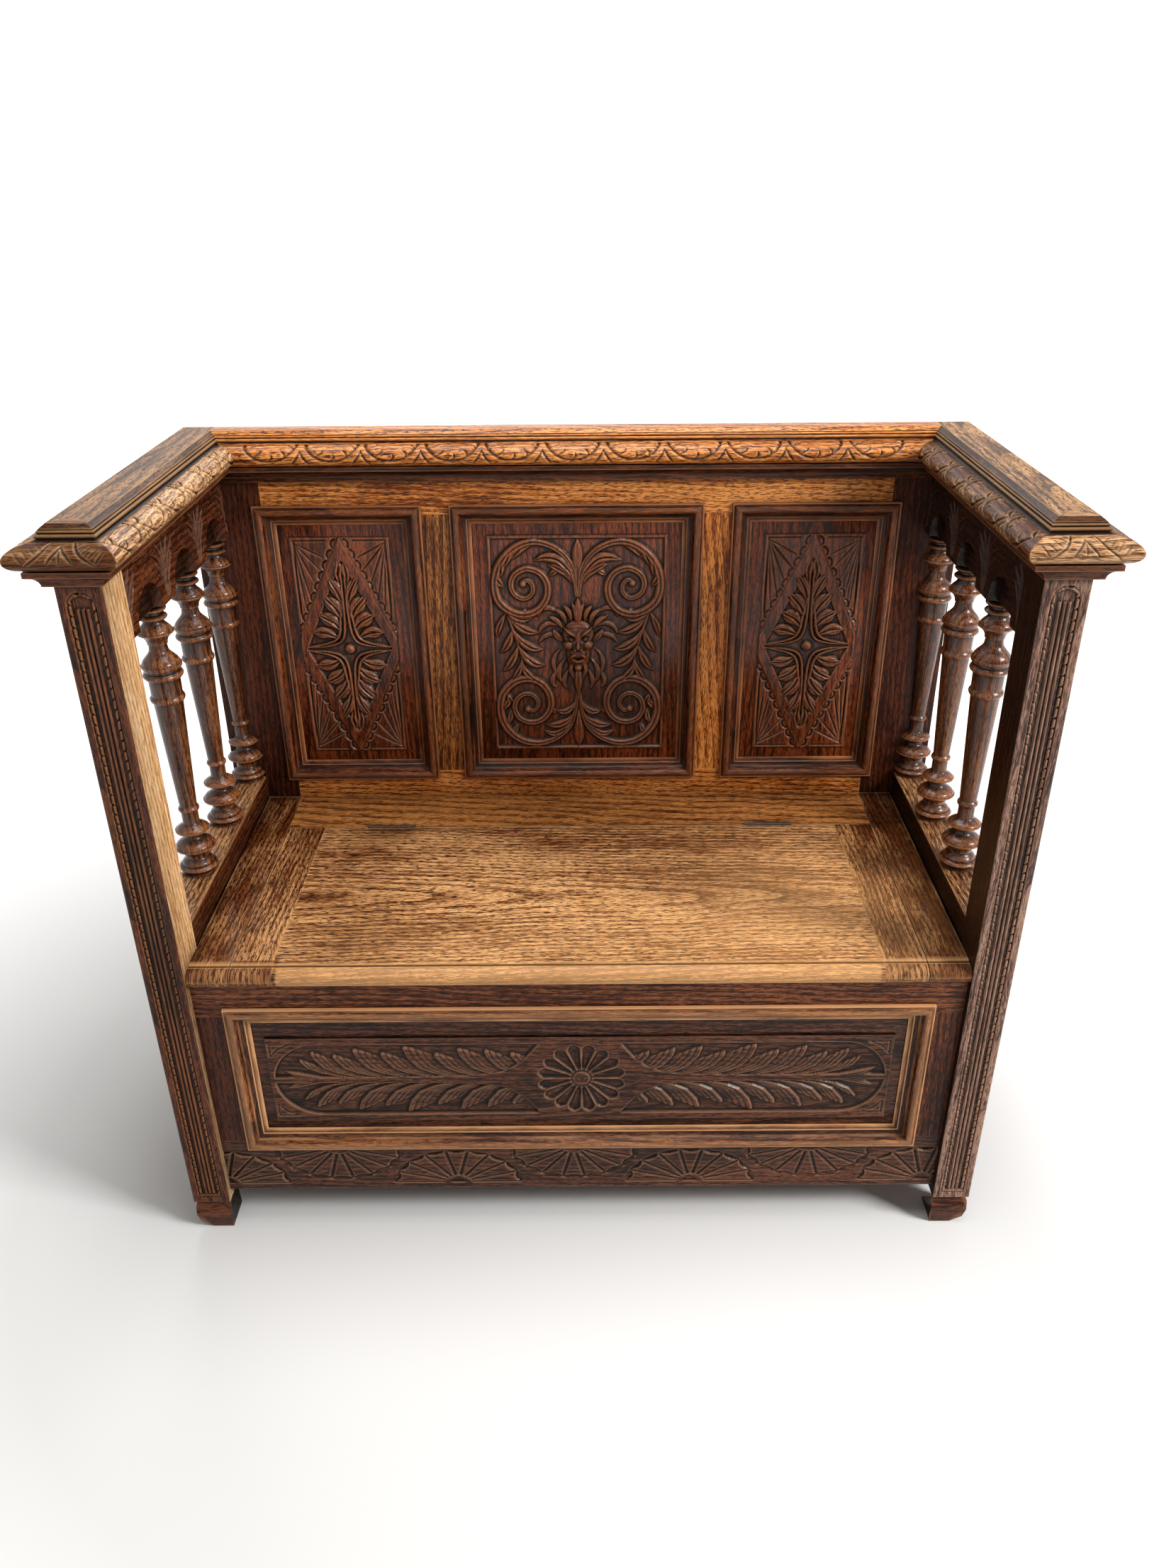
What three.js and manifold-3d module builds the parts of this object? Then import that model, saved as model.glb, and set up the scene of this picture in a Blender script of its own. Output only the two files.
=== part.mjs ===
// A carved oak settle: a chest bench with a hinged seat lid, arms of turned spindles under an
// arcaded rail, a framed and panelled back, and a moulded capping that runs round all three sides.
// Millimetres. X runs across the settle, Y to the back, Z up. Inside the group Y is 0 at the front
// faces of the front posts, and the group is then moved so that the whole is centred.
import * as THREE from "three";
import { mergeVertices } from "three/addons/utils/BufferGeometryUtils.js";
import Module from "manifold-3d";

const wasm = await Module();
wasm.setup();

// Overall sizes
const halfWidth = 552; // centre line to the posts' outer faces
const footHeight = 52;
const postHeight = 916; // foot to bed mould
const backPlane = 472; // inner face of the back
const backThickness = 26;
const seatHeight = 453; // floor to the top of the seat
const lidThickness = 21;

// Clearances
const fit = 0.3; // between a piece and the groove or pocket that holds it
const copeGap = 0.3; // where the back mouldings are coped onto the arms
const seamGap = 1.2; // between the lid and the boards round it
const overrun = 5; // how far a cutter runs past what it cuts
const weld = 1e-4;

// Posts
const postWidth = 51;
const postDepth = 60;
const flutingWidth = 30;
const flutingDepth = 2.6;
const flutingHeadGap = 9; // post top to the head of the sunk panel
const flutingFootGap = 12;
const reedCount = 3;
const reedWidth = 5.4;
const reedPitch = 6;
const reedHeight = 2.2;
const reedHeadGap = 10;

// Feet
const footNeck = 3;
const footNeckHeight = 7;
const footDepth = 50;
const footToe = 27; // height at which the outer corner starts to curve in
const footCurve = 20; // how far it curves in
const footInnerRound = 8;

// Front frame
const frontPlane = 11.5; // set back from the posts
const frontThickness = 24;
const apronGap = 14; // post foot to the lower edge of the apron
const apronHeight = 79; // what shows below the moulding
const topRailHeight = 41; // what shows above the moulding
const frontStileShow = 37;

// Back frame
const backMouldFoot = 32; // seat to the lower edge of the mouldings
const backTopRailShow = 41.5; // mouldings to the top of the frame
const backStileShow = 36; // post line to the outer mouldings
const centreHalfWidth = 183; // centre line to the middle moulding's outer edge
const muntinShow = 40.5;
const backRailDrop = 46; // how far the bottom rail runs below the seat

// Bolection mouldings and panels
const mouldWidth = 30;
const mouldRise = 9; // above the face of the frame
const mouldLap = 14; // over the edge of the frame
const panelSink = 9; // face of the frame to the ground of the panel
const panelThickness = 10;
const panelTongue = 8;
const fieldRise = 4;
const backFieldGap = 17.5; // moulding to raised field
const centreFieldGap = 21;
const frontFieldGap = 15;
const frontFieldHeadGap = 26;

// Sides
const ledgeInset = 2; // posts' inner faces to the ledges
const ledgeOverhang = 5; // beyond the posts' outer faces
const ledgeRise = 37; // seat to the top of the ledge
const ledgeNosing = 20;
const bearerHeight = 25;
const bearerWidth = 20;
const sideRailInset = 12; // posts' outer faces to the rails
const sidePanelInset = 13; // posts' inner faces to the panels
const sidePanelThickness = 12;
const armRailHeight = 85;
const arcadeThickness = 13;
const archCount = 3;
const pendantWidth = 51;
const spindleInset = 28.5; // posts' inner faces to the spindles' axes
const spindleRadius = 27.3;

// Capping
const capFlatInset = 7; // posts' inner faces to the arms' flat tops
const capFlatFront = 13;
const capBackInset = 1; // inner face of the back to its flat top
const capHeight = 46;
const capOverhang = 38;
const torusInset = 14; // centre of the torus, out from the edge of the flat
const torusHeight = 29;
const bedHeight = 18;
const bedFoot = 10.5; // out from the edge of the flat
const bedCoveReach = 16.5;
const bedCoveHeight = 14;
const bedFillet = 29.5; // out from the edge of the flat
const bedFilletRise = 0.4; // slope of the fillet's underside, so that no level has two sizes
const bedForwardReach = 7.5; // extra reach across the arms' fronts
const friezeDrop = 6; // fillet under the bed mould of the back
const friezeJoin = 1; // how far it runs up into the bed mould

// Seat and lid
const seatEndWidth = 53.1; // fixed boards beside the lid
const cleatWidth = 54.4;
const backStripWidth = 99.6; // inner face of the back to the hinge line
const nosingFront = 2;
const nosingQuirk = 21.7; // where the flat of the seat ends
const quirkDepth = 1.5;
const nosingFoot = 4.6;
const nosingCheek = 13; // seat top to the fullest part of the nosing

// Hinges
const hingeInset = 103.6; // lid's end seam to the middle of the hinge
const hingeLength = 71;
const leafHeight = 18;
const leafThickness = 1.6;
const leafGap = 0.6; // between the closed leaves
const knuckleRadius = 3;
const knuckleCount = 5;
const knuckleGap = 0.4;
const pinRadius = 1.3;
const boreRadius = 1.6;

// Chest
const floorThickness = 12;
const chestBackThickness = 16;

// Smoothness, as numbers of straight facets
const turnSegments = 12;
const curveSteps = 4; // along each bead or ogee of a spindle
const archSegments = 12;
const torusSteps = 8;
const coveSteps = 4;
const reedSegments = 5;
const roundSegments = 6;
const knuckleSegments = 12;

// Levels and lines that follow from the sizes
const postInner = halfWidth - postWidth;
const stileInner = postInner - backStileShow - mouldLap;
const postTop = footHeight + postHeight;
const ledgeInner = postInner + ledgeInset;
const ledgeOuter = halfWidth + ledgeOverhang;
const sideRailOuter = halfWidth - sideRailInset;
const sidePanelInner = postInner + sidePanelInset;
const spindleAxis = postInner + spindleInset;
const capFlatInner = postInner + capFlatInset;
const capFlatOuter = halfWidth;
const capFlatBack = backPlane + capBackInset;
const lidHalfWidth = postInner - seatEndWidth - seamGap;
const cleatSeam = lidHalfWidth - cleatWidth;
const hingeOffset = cleatSeam - hingeInset;
const hingeLine = backPlane - backStripWidth;
const seatUnder = seatHeight - lidThickness;
const bearerUnder = seatUnder - bearerHeight;
const ledgeTop = seatHeight + ledgeRise;
const apronFoot = footHeight + apronGap;
const apronTop = apronFoot + apronHeight;
const frontMouldTop = seatUnder - topRailHeight;
const armRailUnder = postTop - armRailHeight;
const backRear = backPlane + backThickness;
const backDepth = [backPlane, backRear];
const backMouldLow = seatHeight + backMouldFoot;
const backMouldHigh = postTop - backTopRailShow;
const backRailFoot = seatHeight - backRailDrop;
const capUnder = postTop + bedHeight;
const capTop = capUnder + capHeight;
const archPitch = (backPlane - postDepth) / archCount;
const archRadius = (archPitch - pendantWidth) / 2;
const overallFront = capFlatFront - capOverhang;
const overallMiddle = (overallFront + backRear) / 2;

// Materials
const darkOak = new THREE.MeshStandardMaterial({ color: 0x4a2a18, roughness: 0.45 });
const redOak = new THREE.MeshStandardMaterial({ color: 0x5e3019, roughness: 0.4 });
const goldenOak = new THREE.MeshStandardMaterial({ color: 0x8a5528, roughness: 0.5 });
const greyOak = new THREE.MeshStandardMaterial({ color: 0x8d6f55, roughness: 0.6 });
const iron = new THREE.MeshStandardMaterial({ color: 0x3a3532, roughness: 0.5, metalness: 0.9 });

const settle = new THREE.Group();
const carcase = new THREE.Group();
carcase.position.y = -overallMiddle;
settle.add(carcase);

function add(name, geometry, material) {
  const mesh = new THREE.Mesh(geometry, material);
  mesh.name = name;
  carcase.add(mesh);
}

// Solids for cutting and joining
function solidOf(geometry) {
  const bare = geometry.index ? geometry.toNonIndexed() : geometry.clone();
  bare.deleteAttribute("normal");
  bare.deleteAttribute("uv");
  const merged = mergeVertices(bare, weld);
  const vertProperties = merged.attributes.position.array;
  const triVerts = new Uint32Array(merged.index.array);
  return new wasm.Manifold(new wasm.Mesh({ numProp: 3, vertProperties, triVerts }));
}

function geometryOf(solid) {
  const mesh = solid.getMesh();
  const geometry = new THREE.BufferGeometry();
  geometry.setAttribute("position", new THREE.BufferAttribute(mesh.vertProperties, 3));
  geometry.setIndex(new THREE.BufferAttribute(mesh.triVerts, 1));
  return geometry.toNonIndexed();
}

const cut = (body, ...tools) =>
  geometryOf(tools.reduce((left, tool) => left.subtract(solidOf(tool)), solidOf(body)));
const join = (body, ...others) =>
  geometryOf(others.reduce((sum, other) => sum.add(solidOf(other)), solidOf(body)));
const common = (body, tool) => geometryOf(solidOf(body).intersect(solidOf(tool)));

// Sides and spans
const sides = [
  { side: -1, hand: "left" },
  { side: 1, hand: "right" },
];
const span = (side, near, far) => (side > 0 ? [near, far] : [-far, -near]);
const both = (half) => [-half, half];
const widened = ([from, to], gap) => [from - gap, to + gap];

// A squared piece between two planes on each axis
function block([x0, x1], [y0, y1], [z0, z1]) {
  const box = new THREE.BoxGeometry(x1 - x0, y1 - y0, z1 - z0);
  return box.translate((x0 + x1) / 2, (y0 + y1) / 2, (z0 + z1) / 2);
}

// A moulded length: an outline in Y and Z drawn out along X
function alongX(shape, [x0, x1], curveSegments = 1) {
  const depth = x1 - x0;
  const length = new THREE.ExtrudeGeometry(shape, { depth, bevelEnabled: false, curveSegments });
  const turn = new THREE.Matrix4().makeBasis(
    new THREE.Vector3(0, 1, 0),
    new THREE.Vector3(0, 0, 1),
    new THREE.Vector3(1, 0, 0),
  );
  return length.applyMatrix4(turn).translate(x0, 0, 0);
}

// An outline in X and Z drawn out along Y
function alongY(shape, [y0, y1], curveSegments = 1) {
  const depth = y1 - y0;
  const length = new THREE.ExtrudeGeometry(shape, { depth, bevelEnabled: false, curveSegments });
  return length.rotateX(Math.PI / 2).translate(0, y1, 0);
}

// A round bar along X
function barAlongX(radius, [x0, x1], y, z, segments) {
  const bar = new THREE.CylinderGeometry(radius, radius, x1 - x0, segments);
  return bar.rotateZ(Math.PI / 2).translate((x0 + x1) / 2, y, z);
}

// Rectangles at rising levels, joined into one closed block
function levelled(levels) {
  const positions = levels.flatMap(({ x, y, z }) => [
    [x[0], y[0], z],
    [x[1], y[0], z],
    [x[1], y[1], z],
    [x[0], y[1], z],
  ]);
  const top = positions.length - 4;
  const faces = [
    [0, 2, 1],
    [0, 3, 2],
    [top, top + 1, top + 2],
    [top, top + 2, top + 3],
  ];
  for (let low = 0; low < top; low += 4) {
    for (let corner = 0; corner < 4; corner += 1) {
      const a = low + corner;
      const b = low + ((corner + 1) % 4);
      faces.push([a, b, b + 4], [a, b + 4, a + 4]);
    }
  }
  return geometryFrom(positions, faces);
}

function geometryFrom(positions, faces) {
  const geometry = new THREE.BufferGeometry();
  geometry.setAttribute("position", new THREE.Float32BufferAttribute(positions.flat(), 3));
  geometry.setIndex(faces.flat());
  return geometry;
}

// A moulding mitred round a rectangle. Each profile point is how far it lies in from the outer
// edge and how far it stands out of the face.
function mitred([x0, x1], [z0, z1], face, profile) {
  const positions = profile.flatMap(([inset, rise]) => [
    [x0 + inset, face - rise, z0 + inset],
    [x1 - inset, face - rise, z0 + inset],
    [x1 - inset, face - rise, z1 - inset],
    [x0 + inset, face - rise, z1 - inset],
  ]);
  const faces = [];
  profile.forEach((_, index) => {
    const here = 4 * index;
    const next = 4 * ((index + 1) % profile.length);
    for (let corner = 0; corner < 4; corner += 1) {
      const after = (corner + 1) % 4;
      faces.push([here + corner, next + after, next + corner]);
      faces.push([here + corner, here + after, next + after]);
    }
  });
  return geometryFrom(positions, faces);
}

// Feet: blocks with a shrunk neck and an outer corner that curves in to the floor
function footShape(side) {
  const at = (across, z) => [side * (postInner + across), z];
  const shape = new THREE.Shape();
  shape.moveTo(...at(footNeck, footHeight));
  shape.lineTo(...at(footNeck, footHeight - footNeckHeight));
  shape.lineTo(...at(0, footHeight - footNeckHeight - footNeck));
  shape.lineTo(...at(0, footInnerRound));
  shape.quadraticCurveTo(...at(0, 0), ...at(footInnerRound, 0));
  shape.lineTo(...at(postWidth - footCurve, 0));
  shape.quadraticCurveTo(...at(postWidth - footCurve / 4, footToe / 4), ...at(postWidth, footToe));
  shape.lineTo(...at(postWidth, footHeight - footNeckHeight - footNeck));
  shape.lineTo(...at(postWidth - footNeck, footHeight - footNeckHeight));
  shape.lineTo(...at(postWidth - footNeck, footHeight));
  return shape;
}

// Front posts: a sunk panel with a round head, and reeds that stand in it
function frontPost(side) {
  const middle = side * (postInner + postWidth / 2);
  const half = flutingWidth / 2;
  const foot = footHeight + flutingFootGap;
  const head = postTop - flutingHeadGap;
  const sunk = new THREE.Shape();
  sunk.moveTo(middle - half, foot);
  sunk.lineTo(middle + half, foot);
  sunk.lineTo(middle + half, head - half);
  sunk.absarc(middle, head - half, half, 0, Math.PI, false);
  const body = cut(
    block(span(side, postInner, halfWidth), [0, postDepth], [footHeight, postTop]),
    alongY(sunk, [-overrun, flutingDepth], archSegments),
  );
  const reeds = Array.from({ length: reedCount }, (_, index) => {
    const centre = middle + (index - (reedCount - 1) / 2) * reedPitch;
    const reed = new THREE.Shape();
    reed.moveTo(centre + reedWidth / 2, -flutingDepth - reedHeight);
    reed.lineTo(centre + reedWidth / 2, -flutingDepth);
    reed.absellipse(centre, -flutingDepth, reedWidth / 2, reedHeight, 0, Math.PI, false);
    reed.lineTo(centre - reedWidth / 2, -flutingDepth - reedHeight);
    const depth = head - reedHeadGap - foot;
    const options = { depth, bevelEnabled: false, curveSegments: reedSegments };
    return new THREE.ExtrudeGeometry(reed, options).scale(1, -1, -1).translate(0, 0, foot + depth);
  });
  return join(body, ...reeds);
}

for (const { side, hand } of sides) {
  const width = span(side, postInner, halfWidth);
  add(`foot_front_${hand}`, alongY(footShape(side), [0, footDepth], roundSegments), darkOak);
  add(`foot_rear_${hand}`, alongY(footShape(side), backDepth, roundSegments), darkOak);
  add(`front_post_${hand}`, frontPost(side), darkOak);
  const stile = block(span(side, stileInner, halfWidth), backDepth, [footHeight, postTop]);
  const groove = block(
    span(side, stileInner - overrun, stileInner + panelTongue + fit),
    [backPlane + panelSink - fit, backPlane + panelSink + panelThickness + fit],
    [backMouldLow, backMouldHigh],
  );
  add(`rear_post_${hand}`, cut(stile, groove), redOak);
  add(
    `side_bottom_rail_${hand}`,
    cut(
      block(span(side, postInner, sideRailOuter), [postDepth, backPlane], [apronFoot, apronTop]),
      block(
        span(side, sidePanelInner - fit, sidePanelInner + sidePanelThickness + fit),
        [postDepth - overrun, backPlane + overrun],
        [apronTop - panelTongue - fit, apronTop + overrun],
      ),
    ),
    darkOak,
  );
  add(
    `side_panel_${hand}`,
    block(
      span(side, sidePanelInner, sidePanelInner + sidePanelThickness),
      [postDepth + fit, backPlane - fit],
      [apronTop - panelTongue, bearerUnder + panelTongue],
    ),
    redOak,
  );
  add(`ledge_rail_${hand}`, ledgeRail(side), redOak);
  add(
    `arm_rail_${hand}`,
    block(
      span(side, ledgeInner + arcadeThickness, halfWidth),
      [postDepth, backPlane],
      [armRailUnder, postTop],
    ),
    darkOak,
  );
  add(`arcade_${hand}`, arcade(side), redOak);
}

// Ledge rails: a rebate inside carries the seat, and the outer edge has a round nosing
function ledgeRail(side) {
  const at = (x, z) => [side * x, z];
  const bearer = ledgeInner - bearerWidth;
  const shape = new THREE.Shape();
  shape.moveTo(...at(bearer, bearerUnder));
  shape.lineTo(...at(bearer, seatUnder));
  shape.lineTo(...at(ledgeInner, seatUnder));
  shape.lineTo(...at(ledgeInner, ledgeTop));
  shape.lineTo(...at(ledgeOuter - ledgeNosing / 2, ledgeTop));
  shape.quadraticCurveTo(...at(ledgeOuter, ledgeTop), ...at(ledgeOuter, ledgeTop - ledgeNosing / 2));
  shape.quadraticCurveTo(
    ...at(ledgeOuter, ledgeTop - ledgeNosing),
    ...at(sideRailOuter, ledgeTop - ledgeNosing),
  );
  shape.lineTo(...at(sideRailOuter, bearerUnder));
  const rail = alongY(shape, [postDepth, backPlane], roundSegments);
  const groove = block(
    span(side, sidePanelInner - fit, sidePanelInner + sidePanelThickness + fit),
    [postDepth - overrun, backPlane + overrun],
    [bearerUnder - overrun, bearerUnder + panelTongue + fit],
  );
  return cut(rail, groove);
}

// Arcades: boards with half-round arches between pendants, one pendant over each spindle
function arcade(side) {
  const shape = new THREE.Shape();
  shape.moveTo(postDepth, postTop);
  shape.lineTo(postDepth, armRailUnder);
  for (let arch = 0; arch < archCount; arch += 1) {
    const centre = postDepth + (arch + 1 / 2) * archPitch;
    shape.lineTo(centre - archRadius, armRailUnder);
    shape.absarc(centre, armRailUnder, archRadius, Math.PI, 0, true);
  }
  shape.lineTo(backPlane, armRailUnder);
  shape.lineTo(backPlane, postTop);
  return alongX(shape, span(side, ledgeInner, ledgeInner + arcadeThickness), archSegments);
}

// Turned spindles: each form ends at a share of the length, with a share of the fullest radius. A
// bead swells to its share and comes back, an ogee flows to its share, and a line runs straight.
const turningShares = [
  ["line", 0, 0.88],
  ["line", 0.01, 0.88],
  ["bead", 0.032, 0.97],
  ["ogee", 0.058, 0.55],
  ["ogee", 0.1, 1],
  ["ogee", 0.143, 0.44],
  ["ogee", 0.166, 0.835],
  ["ogee", 0.196, 0.405],
  ["line", 0.237, 0.405],
  ["bead", 0.26, 0.505],
  ["line", 0.652, 0.69],
  ["bead", 0.682, 0.82],
  ["line", 0.686, 0.73],
  ["line", 0.735, 0.73],
  ["bead", 0.766, 0.935],
  ["line", 0.77, 0.835],
  ["ogee", 0.784, 0.935],
  ["ogee", 0.841, 0.44],
  ["line", 0.855, 0.405],
  ["ogee", 0.893, 0.84],
  ["ogee", 0.935, 0.46],
  ["bead", 0.958, 0.67],
  ["line", 0.96, 0.55],
  ["bead", 0.983, 0.67],
  ["line", 1, 0.55],
];

function turnedOutline() {
  const outline = [[0, 0]];
  let [from, base] = [0, 0];
  for (const [form, to, share] of turningShares) {
    const steps = form === "line" ? 1 : curveSteps;
    for (let step = 1; step <= steps; step += 1) {
      const way = step / steps;
      const swell = {
        line: way,
        ogee: (1 - Math.cos(Math.PI * way)) / 2,
        bead: Math.sin(Math.PI * way),
      }[form];
      outline.push([base + (share - base) * swell, from + (to - from) * way]);
    }
    from = to;
    if (form !== "bead") base = share;
  }
  return [...outline, [0, 1]];
}

function spindle(side, y) {
  const length = armRailUnder - ledgeTop;
  const outline = turnedOutline().map(
    ([radius, height]) => new THREE.Vector2(radius * spindleRadius, height * length),
  );
  const lathe = new THREE.LatheGeometry(outline, turnSegments);
  return lathe.rotateX(Math.PI / 2).translate(side * spindleAxis, y, ledgeTop);
}

for (const { side, hand } of sides) {
  for (let index = 1; index < archCount; index += 1) {
    add(`spindle_${hand}_${index}`, spindle(side, postDepth + index * archPitch), redOak);
  }
  const front = block(
    span(side, 0, halfWidth + overrun),
    [0, backPlane],
    [ledgeTop - overrun, postTop],
  );
  add(`half_spindle_${hand}`, common(spindle(side, backPlane), front), redOak);
}

// Capping: each level stands out from the edge of the flat top by its own overhang. The torus is
// half an ellipse, and the beads and chamfer above it are shares of the overhang and the height.
const beadShares = [
  [0.29, 0.012],
  [0.25, 0.118],
  [0.276, 0.206],
  [0.276, 0.382],
  [0.25, 0.424],
  [0.184, 0.447],
  [0.21, 0.494],
  [0.21, 0.6],
  [0.158, 0.635],
  [0.179, 0.682],
  [0.026, 0.94],
  [0, 1],
];

function capProfile() {
  const reach = capOverhang - torusInset;
  const torus = Array.from({ length: torusSteps + 1 }, (_, step) => {
    const angle = Math.PI * (step / torusSteps - 1 / 2);
    const rise = (torusHeight / 2) * (1 + Math.sin(angle));
    return [torusInset + reach * Math.cos(angle), capUnder + rise];
  });
  const beads = beadShares.map(([out, up]) => [
    out * capOverhang,
    capUnder + torusHeight + up * (capHeight - torusHeight),
  ]);
  return [...torus, ...beads];
}

// Bed mould: a cove that rises from the posts to a fillet under the cap. Across the arms' fronts
// it starts further out, because the posts stand forward there.
function bedProfile() {
  const reach = bedCoveReach;
  const cove = Array.from({ length: coveSteps + 1 }, (_, step) => {
    const angle = (Math.PI / 2) * (step / coveSteps);
    const rise = bedCoveHeight * Math.sin(angle);
    return [bedFoot + reach * (1 - Math.cos(angle)), postTop + rise];
  });
  return [...cove, [bedFillet, postTop + bedCoveHeight + bedFilletRise], [bedFillet, capUnder]];
}

const bedForward = (out) => bedForwardReach * ((bedFillet - out) / (bedFillet - bedFoot));

// The same profile goes round each arm on three sides and is coped along the back
const armLevels = (side, profile, forward) =>
  profile.map(([out, z]) => ({
    x: span(side, capFlatInner - out, capFlatOuter + out),
    y: [capFlatFront - out - forward(out), backRear],
    z,
  }));
const backLevels = (profile) =>
  profile.map(([out, z]) => ({
    x: both(capFlatInner - out - copeGap),
    y: [capFlatBack - out, backRear],
    z,
  }));

for (const { side, hand } of sides) {
  add(`cap_${hand}`, levelled(armLevels(side, capProfile(), () => 0)), greyOak);
  add(`bed_mould_${hand}`, levelled(armLevels(side, bedProfile(), bedForward)), darkOak);
}
add("cap_back", levelled(backLevels(capProfile())), goldenOak);
const frieze = block(
  both(capFlatInner - bedFoot - copeGap),
  [capFlatBack - bedFoot, backPlane],
  [postTop - friezeDrop, postTop + friezeJoin],
);
add("bed_mould_back", join(levelled(backLevels(bedProfile())), frieze), darkOak);

// Mouldings round the panels: inset as a share of the width, rise as a share of the rise
const mouldShares = [
  [0, 0],
  [0, 0.42],
  [0.04, 0.55],
  [0.09, 0.5],
  [0.11, 0.4],
  [0.14, 0.8],
  [0.2, 0.95],
  [0.33, 1],
  [0.45, 0.78],
  [0.52, 0.35],
  [0.56, -0.02],
  [0.61, -0.3],
  [0.7, -0.48],
  [0.77, -0.42],
  [0.82, -0.52],
  [0.84, -0.68],
  [0.97, -0.8],
];

function mouldProfile() {
  const face = mouldShares.map(([inset, rise]) => [inset * mouldWidth, rise * mouldRise]);
  const foot = fit - panelSink;
  return [...face, [mouldWidth, foot], [mouldLap + fit, foot], [mouldLap + fit, 0]];
}

// Panels: a tongue all round, a sunk ground and a raised field
function panel([x0, x1], [z0, z1], face, acrossGap, footGap, headGap) {
  const ground = face + panelSink;
  const edge = mouldLap - panelTongue;
  return join(
    block([x0 + edge, x1 - edge], [ground, ground + panelThickness], [z0 + edge, z1 - edge]),
    block(
      widened([x0, x1], -mouldWidth - acrossGap),
      [ground - fieldRise, ground + panelThickness / 2],
      [z0 + mouldWidth + footGap, z1 - mouldWidth - headGap],
    ),
  );
}

// A rail or stile, grooved for the panels along the edges that meet them
function grooved(x, y, z, ...edges) {
  const sink = [y[0] + panelSink - fit, y[0] + panelSink + panelThickness + fit];
  const deep = panelTongue + fit;
  const grooves = {
    below: block(widened(x, overrun), sink, [z[0] - overrun, z[0] + deep]),
    above: block(widened(x, overrun), sink, [z[1] - deep, z[1] + overrun]),
    less: block([x[0] - overrun, x[0] + deep], sink, widened(z, overrun)),
    more: block([x[1] - deep, x[1] + overrun], sink, widened(z, overrun)),
  };
  return cut(block(x, y, z), ...edges.map((edge) => grooves[edge]));
}

// Front frame
const frontDepth = [frontPlane, frontPlane + frontThickness];
const frontMouldHalf = postInner - frontStileShow;
const frontStileInner = frontMouldHalf - mouldLap;
const frontOpeningLow = apronTop + mouldLap;
const frontOpeningHigh = frontMouldTop - mouldLap;
add(
  "front_apron_rail",
  grooved(both(postInner), frontDepth, [apronFoot, frontOpeningLow], "above"),
  darkOak,
);
add(
  "front_top_rail",
  grooved(both(postInner), frontDepth, [frontOpeningHigh, seatUnder], "below"),
  darkOak,
);
for (const { side, hand } of sides) {
  add(
    `front_stile_${hand}`,
    grooved(
      span(side, frontStileInner, postInner),
      frontDepth,
      [frontOpeningLow, frontOpeningHigh],
      side > 0 ? "less" : "more",
    ),
    darkOak,
  );
}
const frontMouldLevels = [apronTop, frontMouldTop];
add(
  "front_panel",
  panel(
    both(frontMouldHalf),
    frontMouldLevels,
    frontPlane,
    frontFieldGap,
    frontFieldGap,
    frontFieldHeadGap,
  ),
  darkOak,
);
add(
  "front_moulding",
  mitred(both(frontMouldHalf), frontMouldLevels, frontPlane, mouldProfile()),
  redOak,
);

// Back frame
const sideMouldOuter = postInner - backStileShow;
const sideMouldInner = centreHalfWidth + muntinShow;
const backOpeningLow = backMouldLow + mouldLap;
const backOpeningHigh = backMouldHigh - mouldLap;
const backMoulds = {
  left: [-sideMouldOuter, -sideMouldInner],
  centre: both(centreHalfWidth),
  right: [sideMouldInner, sideMouldOuter],
};
add(
  "back_bottom_rail",
  grooved(both(stileInner), backDepth, [backRailFoot, backOpeningLow], "above"),
  goldenOak,
);
add(
  "back_top_rail",
  grooved(both(stileInner), backDepth, [backOpeningHigh, postTop], "below"),
  goldenOak,
);
for (const { side, hand } of sides) {
  add(
    `back_muntin_${hand}`,
    grooved(
      span(side, centreHalfWidth - mouldLap, sideMouldInner + mouldLap),
      backDepth,
      [backOpeningLow, backOpeningHigh],
      "less",
      "more",
    ),
    goldenOak,
  );
}
for (const [place, width] of Object.entries(backMoulds)) {
  const height = [backMouldLow, backMouldHigh];
  const gap = place === "centre" ? centreFieldGap : backFieldGap;
  add(
    `back_panel_${place}`,
    panel(width, height, backPlane, gap, backFieldGap, backFieldGap),
    redOak,
  );
  add(`back_moulding_${place}`, mitred(width, height, backPlane, mouldProfile()), redOak);
}

// Chest: a floor between the frames, a back board, and a bearer for the seat
const frontInside = frontPlane + frontThickness;
add(
  "chest_floor",
  block(both(postInner), [frontInside, backPlane], [apronFoot, apronFoot + floorThickness]),
  darkOak,
);
add(
  "chest_back",
  block(both(stileInner), [backPlane, backPlane + chestBackThickness], [apronFoot, backRailFoot]),
  darkOak,
);
add(
  "seat_bearer",
  block(
    both(ledgeInner - bearerWidth - fit),
    [backPlane - bearerWidth, backPlane],
    [bearerUnder, seatUnder],
  ),
  darkOak,
);

// Seat boards: every board that reaches the front has the same thumb-moulded nosing
function seatSection(rear) {
  const shape = new THREE.Shape();
  shape.moveTo(rear, seatUnder);
  shape.lineTo(rear, seatHeight);
  shape.lineTo(nosingQuirk, seatHeight);
  shape.lineTo(nosingQuirk, seatHeight - quirkDepth);
  const reach = nosingQuirk - quirkDepth - nosingFront;
  shape.absellipse(
    nosingFront + reach,
    seatHeight - nosingCheek,
    reach,
    nosingCheek - quirkDepth,
    Math.PI / 2,
    Math.PI,
    false,
  );
  shape.lineTo(nosingFoot, seatUnder);
  return shape;
}

const lidRear = hingeLine - seamGap / 2;
const stripFront = hingeLine + seamGap / 2;
const hingePlaces = sides.map(({ side, hand }) => {
  const middle = side * hingeOffset;
  return { hand, along: [middle - hingeLength / 2, middle + hingeLength / 2] };
});

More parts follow.
